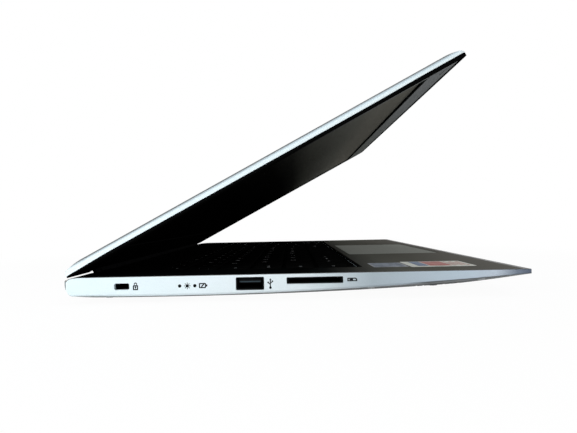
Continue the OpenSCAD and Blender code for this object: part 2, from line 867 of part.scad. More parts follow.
// Black lattice that the keys come up through
module keyboard_frame() {
    color([0.08, 0.08, 0.08])
        at_deck() {
            difference() {
                well_cut(lattice_z, well_z, part_gap);
                for (k = full_keys)
                    key_hole(k, key_depth(k));
                for (k = [arrows[0], arrows[2]])
                    key_hole(k, half_depth(k));
            }
            lattice_feet();
        }
}

module key_hole(k, depth) {
    translate([key_left(k), key_front(k), lattice_z - 1])
        linear_extrude(height = lattice_t + 2)
            key_plan(key_width(k), depth, key_play);
}

// Narrow bars that carry the lattice on the steel plate
module lattice_feet() {
    for (row = [1:5])
        block([-keys_w / 2 + key_gap, keys_front + row * key_pitch_y - key_gap + key_play + 0.3, key_plate_z],
            [keys_w / 2 - key_gap, keys_front + row * key_pitch_y - key_play - 0.3, lattice_z]);
    for (y = [well_front_y + part_gap, keys_rear + key_play + 0.2])
        block([-keys_w / 2, y, key_plate_z], [keys_w / 2, y + 0.9, lattice_z]);
}

// Steel plate under the keys
module keyboard_plate() {
    color("lightslategray")
        at_deck()
            block([-well_half_w - key_plate_lap, well_front_y - key_plate_lap, key_plate_z - key_plate_t],
                [well_half_w + key_plate_lap, well_rear_y + key_plate_lap, key_plate_z]);
}

// ---- touchpad ------------------------------------------------------------

// Touchpad: glass face, narrower board under it and a click button at the front
module touchpad() {
    color([0.42, 0.42, 0.4])
        at_deck() {
            pad_outline(pad_z - 1, pad_z);
            translate([pad_offset, (pad_front_y + pad_rear_y) / 2, 0])
                slab(pad_w - 6, pad_d - 6, 1, pad_z - pad_t, pad_z - 1);
            translate([pad_offset, pad_front_y + 7, pad_z - pad_t - 0.5])
                cylinder(r = 2, h = 0.5);
        }
}

// ---- feet and screws -----------------------------------------------------

// Four rubber feet: two at the rear, two where the underside starts to rise
module rubber_feet() {
    color("black")
        for (x = [-1, 1], y = [front_flat_y + foot_w, bay_y - 8])
            translate([x * (inner_half - 36 - foot_l / 2), y, 0])
                foot();
}

module foot() {
    linear_extrude(height = foot_h)
        rounded(foot_l, foot_w, foot_w / 2 - 0.1);
}

module bottom_screws() {
    color("dimgray")
        at_deck()
            for (p = screw_spots)
                translate([p[0], p[1], skin_z(p) + 0.05])
                    screw();
}

// Flat-headed screw with a cross recess, pointing up
module screw(head_r = screw_head_r, head_h = screw_head_h, shank_r = screw_r, length = 3.6) {
    difference() {
        union() {
            cylinder(r = head_r, h = head_h);
            cylinder(r = shank_r, h = length);
        }
        for (a = [0, 90])
            rotate(a)
                translate([-1.3, -0.25, -1])
                    cube([2.6, 0.5, 1.35]);
    }
}

// ---- hinges --------------------------------------------------------------

// Steel brackets in the base, each with a barrel that holds the hinge pin
module hinge_brackets() {
    low = base_leaf_top - leaf_t;
    x1 = bracket_x + barrel_l;
    front = bay_y - base_leaf_l;
    color("slategray")
        at_deck()
            for (s = [0, 1])
                mirror([s, 0, 0])
                    difference() {
                        union() {
                            bar(barrel_r, bracket_x, x1, axis_y, -axis_drop);
                            block([bracket_x + 1, front, low], [x1 - 1, axis_y, base_leaf_top]);
                            block([bracket_x + 1, front, low], [x1 + 6, bay_y - 1.5, base_leaf_top]);
                        }
                        bar(pin_r + pin_clear, bracket_x - 1, x1 + 1, axis_y, -axis_drop);
                        for (y = base_leaf_holes)
                            translate([leaf_x, y, -base_t])
                                cylinder(r = hinge_screw_r + 0.1, h = base_t);
                    }
}

// Steel arms in the lid, each with the pin that turns in a bracket's barrel
module hinge_arms() {
    high = lid_leaf_low + leaf_t;
    color("slategray")
        at_lid()
            for (s = [0, 1])
                mirror([s, 0, 0])
                    difference() {
                        union() {
                            bar(pin_r, bracket_x - hinge_gap / 2, neck_x + 1, 0, 0);
                            bar(barrel_r, neck_x, neck_x + neck_t, 0, 0);
                            block([neck_x, -barrel_r, 0], [neck_x + neck_t, -1.2, high]);
                            block([neck_x - 14, -lid_leaf_l - 2, lid_leaf_low],
                                [neck_x + neck_t, -1.2, high]);
                        }
                        for (x = lid_leaf_holes)
                            translate([x, lid_hole_y, lid_leaf_low - 1])
                                cylinder(r = hinge_screw_r + 0.1, h = 4);
                    }
}

// Screws that hold the brackets under the frame's posts
module hinge_screws() {
    color("dimgray")
        at_deck()
            for (x = [-leaf_x, leaf_x], y = base_leaf_holes)
                translate([x, y, base_leaf_top - leaf_t - hinge_head_h])
                    screw(hinge_head_r, hinge_head_h, hinge_screw_r, hinge_head_h + leaf_t + 1.6);
}

// Screws that hold the arms' leaves to the lid cover's posts
module lid_screws() {
    color("dimgray")
        at_lid()
            for (s = [-1, 1], x = lid_leaf_holes)
                translate([s * x, lid_hole_y, lid_leaf_low - hinge_head_h])
                    screw(hinge_head_r, hinge_head_h, hinge_screw_r, hinge_head_h + leaf_t + 0.9);
}

// Black cover between the hinges, hanging from the bezel
module hinge_cover() {
    color([0.1, 0.1, 0.1])
        at_lid() {
            bar(cover_r, -cover_half, cover_half, 0, 0);
            along_x(2 * cover_half)
                polygon([[-cover_r, 0], [-cover_r, lid_low], [lid_tail, lid_low], [cover_r - 0.3, 2],
                    [cover_r - 0.1, 0]]);
            for (s = [0, 1])
                mirror([s, 0, 0])
                    block([cover_half - 0.1, -cover_r, barrel_r + 0.35],
                        [neck_x - hinge_gap, lid_tail, lid_low]);
        }
}

// ---- lid -----------------------------------------------------------------

// Side outline of the lid, closed, from its rear end to its front edge
module lid_profile() {
    top_c = lid_high - lid_rear_r;
    tail_y = lid_tail - lid_tail_r;
    fall_y = lid_tail - lid_rear_fall;
    tail_z = top_c + sqrt(pow(lid_rear_r - lid_tail_r, 2) - pow(tail_y - fall_y, 2));
    nose_y = lid_front + lid_front_fall;
    intersection() {
        translate([lid_front, lid_low])
            square([lid_d, lid_t]);
        union() {
            translate([lid_front, lid_low])
                square([fall_y - lid_front, lid_t]);
            translate([fall_y, top_c])
                circle(lid_rear_r, $fn = 180);
        }
        union() {
            translate([lid_front, lid_low])
                square([tail_y - lid_front, lid_t]);
            translate([lid_front, lid_low])
                square([lid_d, max(0.01, tail_z - lid_low)]);
            translate([tail_y, tail_z])
                circle(lid_tail_r);
        }
        union() {
            translate([nose_y, lid_low])
                square([lid_d, lid_t]);
            translate([nose_y, lid_high - lid_front_r])
                circle(lid_front_r, $fn = 180);
        }
    }
}

// Whole outer form of the lid
module lid_form() {
    intersection() {
        along_x(base_w + 2)
            lid_profile();
        translate([0, (lid_front + lid_tail) / 2, 0])
            slab(base_w, lid_d, lid_corner_r, lid_low - 1, lid_high + 1);
        along_y(3 * base_d)
            union() {
                translate([-half_w, lid_low - 1])
                    square([base_w, lid_t + 1 - lid_edge_r]);
                translate([-half_w + lid_edge_r, lid_low - 1])
                    square([base_w - 2 * lid_edge_r, lid_t + 1]);
                for (s = [-1, 1])
                    translate([s * (half_w - lid_edge_r), lid_high - lid_edge_r])
                        circle(lid_edge_r);
            }
    }
}

// Silver lid cover, hollow on its inner side
module lid_cover() {
    color("silver")
        at_lid()
            difference() {
                union() {
                    difference() {
                        lid_form();
                        block([-half_w - 1, lid_front - 1, lid_low - 1],
                            [half_w + 1, lid_tail + 1, lid_seam]);
                        lid_room(lid_seam - 1, lid_high - lid_skin_t);
                    }
                    for (s = [-1, 1], x = lid_leaf_holes)
                        translate([s * x, lid_hole_y, lid_leaf_low + leaf_t])
                            cylinder(r = hinge_head_r, h = lid_high - lid_skin_t / 2 - lid_leaf_low - leaf_t);
                }
                for (s = [-1, 1], x = lid_leaf_holes)
                    translate([s * x, lid_hole_y, lid_leaf_low])
                        cylinder(r = hinge_screw_r + 0.05, h = leaf_t + 1);
            }
}

// Room inside the lid between its edge walls
module lid_room(z0, z1) {
    front = lid_front + 7;
    back = -1;
    translate([0, (front + back) / 2, 0])
        slab(base_w - 2 * bezel_rim_w - 1.4, back - front, lid_corner_r - bezel_rim_w, z0, z1);
}

// Black screen bezel with its raised edge, window and camera hole
module screen_bezel() {
    color([0.07, 0.07, 0.07])
        at_lid()
            difference() {
                intersection() {
                    lid_form();
                    block([-half_w - 1, lid_front - 1, lid_low - 1], [half_w + 1, lid_tail + 1, lid_seam]);
                }
                lid_room(lid_low + bezel_t, lid_seam + 1);
                translate([0, (screen_front + screen_rear) / 2, 0])
                    slab(screen_w, screen_h, 1.5, lid_low - 1, lid_seam + 1);
                translate([0, lid_front + bezel_top / 2, lid_low - 1])
                    cylinder(r = camera_r, h = 4);
                for (x = [-22, 22])
                    translate([x, lid_front + bezel_top / 2, lid_low - 1])
                        cylinder(r = 0.5, h = 4);
                for (s = [0, 1])
                    mirror([s, 0, 0])
                        block([neck_x - 0.3, -barrel_r - 0.4, lid_low - 1],
                            [neck_x + neck_t + 0.3, lid_tail + 1, lid_seam + 1]);
            }
}

// Display panel: glass stack with a thicker driver strip under the picture
module display_panel() {
    w = screen_w + 2 * panel_margin;
    color([0.16, 0.16, 0.15])
        at_lid() {
            block([-w / 2, screen_front - panel_margin, panel_z],
                [w / 2, screen_rear + panel_margin, panel_z + panel_t]);
            block([-w / 2 + 20, screen_rear + panel_margin, panel_z + 0.4],
                [w / 2 - 20, screen_rear + panel_foot, panel_z + panel_t - 0.4]);
        }
}

// Soft bumpers in the bezel that meet the deck
module lid_bumpers() {
    color([0.2, 0.2, 0.2])
        at_lid()
            for (x = [-1, 1], y = [lid_front + 8, -bezel_bottom / 2])
                translate([x * (half_w - 16), y, lid_low - bumper_h])
                    linear_extrude(height = bumper_h)
                        rounded(9, 2.6, 1.2);
}

// Camera board with its lens tube and two microphones
module camera_module() {
    y = lid_front + bezel_top / 2;
    color([0.1, 0.2, 0.12])
        at_lid() {
            block([-34, y - 3, panel_z + 1.2], [34, y + 3, panel_z + 2]);
            translate([0, y, lid_low + 0.35])
                cylinder(r = camera_r - 0.15, h = bezel_t);
            translate([0, y, panel_z])
                cylinder(r = 2.6, h = 1.2);
            for (x = [-22, 22])
                block([x - 1.6, y - 1.3, panel_z], [x + 1.6, y + 1.3, panel_z + 1.2]);
        }
}

// ---- inside the base -----------------------------------------------------

// Main board, cut back round the fan, with its processor, memory chips and coils
module motherboard() {
    left = fan_x + fan_box / 2 + 3;
    right = half_w - board_inset;
    front = well_front_y + 6;
    color("darkgreen")
        at_deck() {
            block([left, front, board_z], [right - 20, bay_y - 20, board_top]);
            block([right - 22, rear_y - audio_from_rear - 8, board_z],
                [right, rear_y - power_from_rear + 8, board_top]);
            chip(cpu[0], cpu[1], 28, 22, 0.8);
            for (i = [0:3])
                chip(cpu[0] + 32, cpu[1] - 18 + i * 11, 11, 8, 1);
            for (i = [-2:2])
                chip(cpu[0] - 22, cpu[1] + i * 7, 5, 5, 1.6);
        }
}

// Chip or coil on the main board
module chip(x, y, w, d, h) {
    block([x - w / 2, y - d / 2, board_top - 0.1], [x + w / 2, y + d / 2, board_top + h]);
}

// Small board behind the left side ports
module io_board() {
    color("darkgreen")
        at_deck()
            block([-half_w + board_inset, rear_y - card_from_rear - card_w / 2, board_z],
                [-half_w + board_inset + 16, rear_y - light_from_rear + 5, board_top]);
}

// Flat fan housing with its motor's coils, open at the rear towards the fins
module fan_housing() {
    half = fan_box / 2;
    color([0.18, 0.18, 0.18])
        at_deck()
            translate([fan_x, fan_y, fan_low]) {
                difference() {
                    linear_extrude(height = fan_h)
                        fan_plan(0);
                    translate([0, 0, fan_wall])
                        linear_extrude(height = fan_h - 2 * fan_wall)
                            fan_plan(fan_wall);
                    translate([-half + 2, 0, fan_wall])
                        cube([fan_box - 4, half + 10, fan_h - 2 * fan_wall]);
                    translate([0, 0, -1])
                        inlet_ring(fan_wall + 1.1);
                    translate([0, 0, fan_h - fan_wall - 0.1])
                        cylinder(r = fan_d * 0.36, h = fan_wall + 1);
                    translate([0, 0, -1])
                        cylinder(r = fan_shaft_r + 0.04, h = 2 + fan_wall);
                }
                difference() {
                    translate([0, 0, fan_wall / 2])
                        cylinder(r = fan_d * 0.17, h = fan_wall / 2 + 1.6);
                    translate([0, 0, -1])
                        cylinder(r = fan_shaft_r + 1.9, h = 5);
                }
            }
}

// Outline of the fan housing: round at the front, square at the rear
module fan_plan(inset) {
    r = fan_box / 2 - inset;
    circle(r, $fn = 96);
    translate([-r, 0])
        square([2 * r, r]);
}

// Ring-shaped air inlet broken by three spokes
module inlet_ring(h) {
    difference() {
        cylinder(r = fan_d * 0.36, h = h);
        translate([0, 0, -1])
            cylinder(r = fan_d * 0.2, h = h + 2);
        for (a = [30, 150, 270])
            rotate(a)
                translate([0, -1, -1])
                    cube([fan_d, 2, h + 2]);
    }
}

// Fan impeller: hub, shaft and a ring of leaning blades
module fan_impeller() {
    z0 = fan_low + fan_wall + 0.4;
    h = fan_h - 2 * fan_wall - 0.8;
    hub_r = fan_d * 0.24;
    color([0.1, 0.1, 0.12])
        at_deck()
            translate([fan_x, fan_y, z0]) {
                difference() {
                    cylinder(r = hub_r, h = h);
                    translate([0, 0, -1])
                        difference() {
                            cylinder(r = hub_r - 1, h = h);
                            cylinder(r = fan_shaft_r + 1.2, h = h);
                        }
                }
                translate([0, 0, -0.4 - fan_wall + 0.1])
                    cylinder(r = fan_shaft_r, h = 2);
                linear_extrude(height = h)
                    for (i = [0:fan_blades - 1])
                        rotate(i * 360 / fan_blades)
                            translate([hub_r - 0.3, 0])
                                rotate(-24)
                                    square([fan_d / 2 - hub_r - 1, 0.6]);
            }
}

// Copper plate on the processor, heat pipe and the stack of cooling fins
module heat_sink() {
    half = fan_box / 2 - 1;
    color("peru")
        at_deck() {
            block([cpu[0] - 17, cpu[1] - 13, pipe_z - 1], [cpu[0] + 17, cpu[1] + 9, pipe_z]);
            block([cpu[0] - 4, cpu[1] + 4, pipe_z], [cpu[0] + 4, fin_y + 4.5, pipe_z + 1]);
            block([fan_x - half, fin_y + 0.2, pipe_z], [cpu[0] + 4, fin_y + 4.5, pipe_z + 1]);
            for (x = [-half:1.6:half])
                block([fan_x + x, fin_y, fan_low], [fan_x + x + 0.4, bay_y - 0.4, pipe_z + 1.3]);
            block([fan_x - half, fin_y, fan_low], [fan_x + half, bay_y - 0.4, fan_low + 0.4]);
        }
}

// Flat battery pack: pouch cells side by side in a thin tray
module battery_pack() {
    low = battery_top - battery_t;
    front = battery_rear - battery_d;
    cell_w = battery_w / battery_cells;
    color([0.15, 0.15, 0.17])
        at_deck() {
            block([-battery_w / 2, front, low], [battery_w / 2, battery_rear, low + 0.6]);
            for (i = [0:battery_cells - 1])
                translate([-battery_w / 2 + (i + 0.5) * cell_w, (front + battery_rear) / 2, 0])
                    slab(cell_w - 1.5, battery_d - 2, 2, low + 0.5, battery_top);
        }
}

module solid_state_drive() {
    color("seagreen")
        at_deck()
            translate([fan_x + fan_box / 2 + 55, well_front_y + 18, board_top])
                card_board(80, 22, 3);
}

module memory_module() {
    color("seagreen")
        at_deck()
            translate([half_w - 81, well_front_y + 22, board_top])
                card_board(67.6, 30, 4);
}

module wireless_card() {
    color("seagreen")
        at_deck()
            translate([half_w - 69, bay_y - 40, board_top])
                card_board(30, 22, 1);
}

// Plug-in board lying in its low connector, with a row of chips
module card_board(w, d, chips) {
    step = (w - 8) / chips;
    block([-w / 2, -d / 2, 1.2], [w / 2, d / 2, 2]);
    block([-w / 2 - 4, -d / 2 + 1, 0.05], [-w / 2 + 1, d / 2 - 1, 1.2]);
    block([w / 2 - 3, -2, 0.05], [w / 2, 2, 1.2]);
    for (i = [0:chips - 1])
        block([-w / 2 + 5 + i * step, -d / 3, 1.9], [-w / 2 + 2 + (i + 1) * step, d / 3, 3]);
}

// One flat speaker box at each front corner
module speakers() {
    color([0.12, 0.12, 0.12])
        at_deck()
            for (s = [0, 1])
                mirror([s, 0, 0])
                    difference() {
                        translate([speaker_x, speaker_y, 0])
                            slab(speaker_w, speaker_l, 3, -5.7, shelf_z - 0.3);
                        translate([speaker_x, speaker_y - 4, -6.7])
                            cylinder(r = speaker_w * 0.32, h = 1.6);
                    }
}

// ---- ports ---------------------------------------------------------------

// USB receptacle: folded metal shell, open outwards, with its contact tongue
module usb_port(side, y, z0) {
    w = usb_w - 0.6;
    h = usb_h - 0.6;
    x0 = half_w - usb_depth;
    x1 = half_w - 0.4;
    mirror([side < 0 ? 1 : 0, 0, 0]) {
        difference() {
            block([x0, y - w / 2, z0], [x1, y + w / 2, z0 + h]);
            block([x0 + 1, y - w / 2 + shell_t, z0 + shell_t],
                [x1 + 1, y + w / 2 - shell_t, z0 + h - shell_t]);
        }
        block([x0 + 0.5, y - w / 2 + 1.2, z0 + h - 2.6], [x1 - 1, y + w / 2 - 1.2, z0 + h - 0.9]);
        block([x0, y - w / 2, board_top + 0.02], [x0 + 2, y + w / 2, z0 + 0.1]);
    }
}

module usb_port_left() {
    color("darkgray")
        at_deck()
            usb_port(-1, rear_y - usb_from_rear, board_top + 0.3);
}

module usb_port_right() {
    color("darkgray")
        at_deck()
            usb_port(1, rear_y - usb_right_from_rear, board_top + 0.3);
}

// Card reader: flat metal housing with its slot
module card_reader() {
    y = rear_y - card_from_rear;
    w = card_w - 0.8;
    x0 = half_w - card_depth;
    z0 = card_z - card_h / 2 + 0.2;
    z1 = card_z + card_h / 2 - 0.2;
    color("darkgray")
        at_deck()
            mirror([1, 0, 0]) {
                difference() {
                    block([x0, y - w / 2, z0], [half_w - 0.5, y + w / 2, z1]);
                    block([x0 + 1, y - w / 2 + 0.6, z0 + shell_t],
                        [half_w + 1, y + w / 2 - 0.6, z1 - shell_t]);
                }
                for (s = [-1, 1])
                    translate([x0, y + s * (w / 2 - 2), board_top + 0.02])
                        block([0, -1.5, 0], [2.5, 1.5, z0 - board_top]);
            }
}

module usb_c_port() {
    y = rear_y - usb_c_from_rear;
    r = usb_c_h / 2 - 0.25;
    x1 = half_w - 0.4;
    length = socket_depth - 1;
    color("darkgray")
        at_deck()
            translate([x1 - length / 2, y, board_top + usb_c_h / 2]) {
                difference() {
                    along_x(length)
                        rounded(usb_c_w - 0.4, usb_c_h - 0.4, r);
                    translate([1, 0, 0])
                        along_x(length)
                            rounded(usb_c_w - 0.4 - 2 * shell_t, usb_c_h - 0.4 - 2 * shell_t, r - shell_t);
                }
                translate([-0.5, 0, 0])
                    along_x(length - 2)
                        square([usb_c_w - 3, 0.7], center = true);
            }
}

module hdmi_port() {
    y = rear_y - hdmi_from_rear;
    w = hdmi_w - 0.6;
    h = hdmi_h - 0.6;
    z0 = board_top + 0.3;
    x0 = half_w - socket_depth + 2;
    x1 = half_w - 0.4;
    color("darkgray")
        at_deck() {
            difference() {
                translate([(x0 + x1) / 2, y, z0])
                    along_x(x1 - x0)
                        hdmi_plan(w, h);
                translate([(x0 + x1) / 2 + 1, y, z0 + shell_t])
                    along_x(x1 - x0)
                        hdmi_plan(w - 2 * shell_t, h - 2 * shell_t);
            }
            block([x0 + 0.5, y - 4.5, z0 + h / 2 - 0.4], [x1 - 1.2, y + 4.5, z0 + h / 2 + 0.6]);
        }
}

// HDMI outline: a rectangle with its two lower corners cut off
module hdmi_plan(w, h) {
    c = h * 0.36;
    polygon([[-w / 2, h], [w / 2, h], [w / 2, c], [w / 2 - c, 0], [-w / 2 + c, 0], [-w / 2, c]]);
}

module audio_jack() {
    y = rear_y - audio_from_rear;
    x0 = half_w - socket_depth;
    color([0.1, 0.1, 0.1])
        at_deck()
            difference() {
                union() {
                    bar(audio_collar_r, half_w - 6, half_w - 0.2, y, audio_z());
                    block([x0, y - 2.9, board_top + 0.02], [half_w - 5, y + 2.9, audio_z() + 2.4]);
                }
                bar(audio_r, x0 + 1, half_w + 1, y, audio_z());
            }
}

module power_jack() {
    y = rear_y - power_from_rear;
    x0 = half_w - socket_depth;
    color([0.1, 0.1, 0.1])
        at_deck() {
            difference() {
                union() {
                    bar(power_r, half_w - 6, half_w - 0.2, y, power_z());
                    block([x0, y - 3.2, board_top + 0.02], [half_w - 5, y + 3.2, power_z() + 2.6]);
                }
                bar(power_bore_r, x0 + 2, half_w + 1, y, power_z());
            }
            bar(power_pin_r, x0 + 1, half_w - 1.5, y, power_z());
        }
}

// Clear light pipes from the small board to the status lights' places in the side wall
module light_pipes() {
    x1 = -half_w + board_inset + 3;
    color("white")
        at_deck()
            for (i = [0, 1]) {
                bar(light_r, -half_w + 0.05, x1, light_y(i), -light_drop);
                translate([x1, light_y(i), board_top + 0.02])
                    block([-2, -1, 0], [0, 1, light_r - light_drop - board_top]);
            }
}

// ---- the nodes -----------------------------------------------------------

bottom_cover();
side_frame();
deck_plate();
keyboard_frame();
keyboard_plate();
touchpad();
rubber_feet();
bottom_screws();
hinge_brackets();
hinge_arms();
hinge_cover();
lid_cover();
screen_bezel();
display_panel();
lid_bumpers();
camera_module();
motherboard();
io_board();
fan_housing();
fan_impeller();
heat_sink();
battery_pack();
solid_state_drive();
memory_module();
wireless_card();
speakers();
usb_port_left();
card_reader();
usb_port_right();
usb_c_port();
hdmi_port();
audio_jack();
power_jack();
light_pipes();
keys(function_row);  // keys_function_row
keys(power_key);  // power_button
keys(number_row);  // keys_number_row
keys(backspace);  // key_backspace
keys(tab);  // key_tab
keys(upper_row);  // keys_upper_row
keys(caps_lock);  // key_caps_lock
keys(home_row);  // keys_home_row
keys(enter);  // key_enter
keys(shift_left);  // key_shift_left
keys(lower_row);  // keys_lower_row
keys(shift_right);  // key_shift_right
keys(ctrl_left);  // key_ctrl_left
keys(fn);  // key_fn
keys(menu);  // key_menu
keys(alt_left);  // key_alt_left
keys(space);  // key_space
keys(alt_right);  // key_alt_right
keys(ctrl_right);  // key_ctrl_right
half_key(arrows[0], 0);  // key_arrow_left
half_key(arrows[1], 1);  // key_arrow_up
half_key(arrows[1], 0);  // key_arrow_down
half_key(arrows[2], 0);  // key_arrow_right
keys(escape);  // key_escape
hinge_screws();
lid_screws();
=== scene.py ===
# Looks of the laptop computer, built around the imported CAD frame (metres, Z up). The sizes and
# places named here are in mm in the part's own frame, and MM turns them into metres.
import math

import bmesh
import bpy
from mathutils import Matrix, Vector


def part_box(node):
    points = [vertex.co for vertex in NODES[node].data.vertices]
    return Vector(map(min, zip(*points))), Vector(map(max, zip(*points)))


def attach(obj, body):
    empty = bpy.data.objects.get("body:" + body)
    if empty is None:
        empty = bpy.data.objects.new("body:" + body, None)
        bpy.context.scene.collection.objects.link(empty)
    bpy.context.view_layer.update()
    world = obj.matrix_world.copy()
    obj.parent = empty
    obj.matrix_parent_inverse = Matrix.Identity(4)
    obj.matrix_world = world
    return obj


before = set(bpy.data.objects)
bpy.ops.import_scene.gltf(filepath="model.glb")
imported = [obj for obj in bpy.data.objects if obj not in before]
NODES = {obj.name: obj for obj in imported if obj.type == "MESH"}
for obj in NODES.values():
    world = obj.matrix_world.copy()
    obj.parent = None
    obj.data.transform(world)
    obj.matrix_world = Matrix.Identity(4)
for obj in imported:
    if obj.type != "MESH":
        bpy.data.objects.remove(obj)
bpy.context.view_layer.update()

MM = 0.001
TO_MM = (1000, 1000, 1000)
DECK = 13.0  # height of the deck
REAR_Y = 114.8  # rear edge of the base
HALF_W = 163.0  # half the width of base and lid
AXIS_Y = 110.85  # hinge axis
AXIS_Z = 8.0
LID_ANGLE = 28.0

# The closed lid's frame: Y from the hinge axis, negative towards the free edge, Z above the axis
LID_LOW = 5.5  # inner face of the lid
COVER_LOW = LID_LOW + 1.5
COVER_TOP = LID_LOW + 4.9
SCREEN_TOP = 203.8  # edge of the screen's opening beside the free edge


# ---- materials ------------------------------------------------------------

# Positions of the two tones in a ramp or range that is driven by noise
GRAIN_LOW = 0.35
GRAIN_HIGH = 0.65
PAINT_GRAIN = 2600
COAT_ROUGHNESS = 0.2
# Colour sockets of the Mix node
MIX_A = 6
MIX_B = 7
MIX_RESULT = 2


class Mat:
    """A Principled material with a few procedural layers."""

    def __init__(self, name, metallic=0.0, spec=0.5, coat=0.0):
        self.mat = bpy.data.materials.new(name)
        self.mat.use_nodes = True
        self.tree = self.mat.node_tree
        self.bsdf = self.tree.nodes["Principled BSDF"]
        self.bsdf.inputs["Metallic"].default_value = metallic
        self.bsdf.inputs["Specular IOR Level"].default_value = spec
        self.bsdf.inputs["Coat Weight"].default_value = coat
        self.bsdf.inputs["Coat Roughness"].default_value = COAT_ROUGHNESS

    def add(self, kind, **inputs):
        """A new node with these values on its sockets."""
        node = self.tree.nodes.new(kind)
        for socket, value in inputs.items():
            node.inputs[socket].default_value = value
        return node

    def link(self, a, b):
        self.tree.links.new(a, b)

    def coords(self, stretch=(1, 1, 1)):
        source = self.add("ShaderNodeTexCoord")
        mapped = self.add("ShaderNodeMapping", Scale=stretch)
        self.link(source.outputs["Object"], mapped.inputs["Vector"])
        return mapped.outputs["Vector"]

    def place(self):
        """X, Y and Z in mm in the part's own frame."""
        split = self.add("ShaderNodeSeparateXYZ")
        self.link(self.coords(TO_MM), split.inputs["Vector"])
        return split.outputs

    def along_lid(self):
        """X, Y and Z in mm in the closed lid's frame."""
        source = self.add("ShaderNodeTexCoord")
        shift = self.add("ShaderNodeMapping", Location=Vector((0, -AXIS_Y, -AXIS_Z)) * MM)
        turn = self.add("ShaderNodeMapping", Rotation=(math.radians(LID_ANGLE), 0, 0), Scale=TO_MM)
        split = self.add("ShaderNodeSeparateXYZ")
        self.link(source.outputs["Object"], shift.inputs["Vector"])
        self.link(shift.outputs["Vector"], turn.inputs["Vector"])
        self.link(turn.outputs["Vector"], split.inputs["Vector"])
        return split.outputs

    def noise(self, scale, detail=2.0, stretch=(1, 1, 1)):
        node = self.add("ShaderNodeTexNoise", Scale=scale, Detail=detail)
        self.link(self.coords(stretch), node.inputs["Vector"])
        return node.outputs["Fac"]

    def ramp(self, fac, stops):
        """Colour from a list of stops, each a position and a colour."""
        node = self.add("ShaderNodeValToRGB")
        elements = node.color_ramp.elements
        while len(elements) < len(stops):
            elements.new(0.5)
        for element, (position, colour) in zip(elements, stops):
            element.position = position
            element.color = (*colour, 1)
        self.link(fac, node.inputs["Fac"])
        return node.outputs["Color"]

    def share(self, value, lo, hi, to_lo=0.0, to_hi=1.0, shape="LINEAR"):
        """to_lo where the value is lo or less, to_hi where it is hi or more."""
        span = {"From Min": lo, "From Max": hi, "To Min": to_lo, "To Max": to_hi}
        node = self.add("ShaderNodeMapRange", **span)
        node.interpolation_type = shape
        self.link(value, node.inputs["Value"])
        return node.outputs["Result"]

    def above(self, value, lo, hi):
        """0 below lo, 1 above hi, smooth between."""
        return self.share(value, lo, hi, shape="SMOOTHSTEP")

    def below(self, value, lo, hi):
        """1 below lo, 0 above hi, smooth between."""
        return self.above(self.times(value, -1.0), -hi, -lo)

    def calc(self, operation, a, b=None):
        """A Math node on socket a and on b, which is a socket or a number."""
        node = self.add("ShaderNodeMath")
        node.operation = operation
        self.link(a, node.inputs[0])
        if isinstance(b, (int, float)):
            node.inputs[1].default_value = b
        elif b is not None:
            self.link(b, node.inputs[1])
        return node.outputs[0]

    def plus(self, a, b):
        return self.calc("ADD", a, b)

    def times(self, a, b):
        return self.calc("MULTIPLY", a, b)

    def larger(self, a, b):
        return self.calc("MAXIMUM", a, b)

    def mix(self, fac, a, b):
        """Colour a where fac is 0, b where it is 1; a and b are colours or sockets."""
        node = self.add("ShaderNodeMix")
        node.data_type = "RGBA"
        self.link(fac, node.inputs["Factor"])
        for socket, colour in ((node.inputs[MIX_A], a), (node.inputs[MIX_B], b)):
            if isinstance(colour, tuple):
                socket.default_value = (*colour, 1)
            else:
                self.link(colour, socket)
        return node.outputs[MIX_RESULT]

    def product(self, a, b):
        """Colour a times colour b."""
        node = self.add("ShaderNodeMix")
        node.data_type = "RGBA"
        node.blend_type = "MULTIPLY"
        node.inputs["Factor"].default_value = 1.0
        self.link(a, node.inputs[MIX_A])
        self.link(b, node.inputs[MIX_B])
        return node.outputs[MIX_RESULT]

    def paint(self, socket):
        self.link(socket, self.bsdf.inputs["Base Color"])

    def speckle(self, dark, light, scale, detail=3.0, stretch=(1, 1, 1)):
        grain = self.noise(scale, detail, stretch)
        return self.ramp(grain, [(GRAIN_LOW, dark), (GRAIN_HIGH, light)])

    def roughness(self, lo, hi, scale, detail=2.0, stretch=(1, 1, 1)):
        grain = self.noise(scale, detail, stretch)
        self.link(self.share(grain, GRAIN_LOW, GRAIN_HIGH, lo, hi), self.bsdf.inputs["Roughness"])

    def bump(self, scale, distance, strength, detail=2.0, stretch=(1, 1, 1)):
        node = self.add("ShaderNodeBump", Strength=strength, Distance=distance)
        self.link(self.noise(scale, detail, stretch), node.inputs["Height"])
        self.link(node.outputs["Normal"], self.bsdf.inputs["Normal"])


def srgb(r, g, b):
    """Linear colour from 8-bit values."""
    parts = (r / 255, g / 255, b / 255)
    return tuple(c / 12.92 if c <= 0.04045 else ((c + 0.055) / 1.055) ** 2.4 for c in parts)


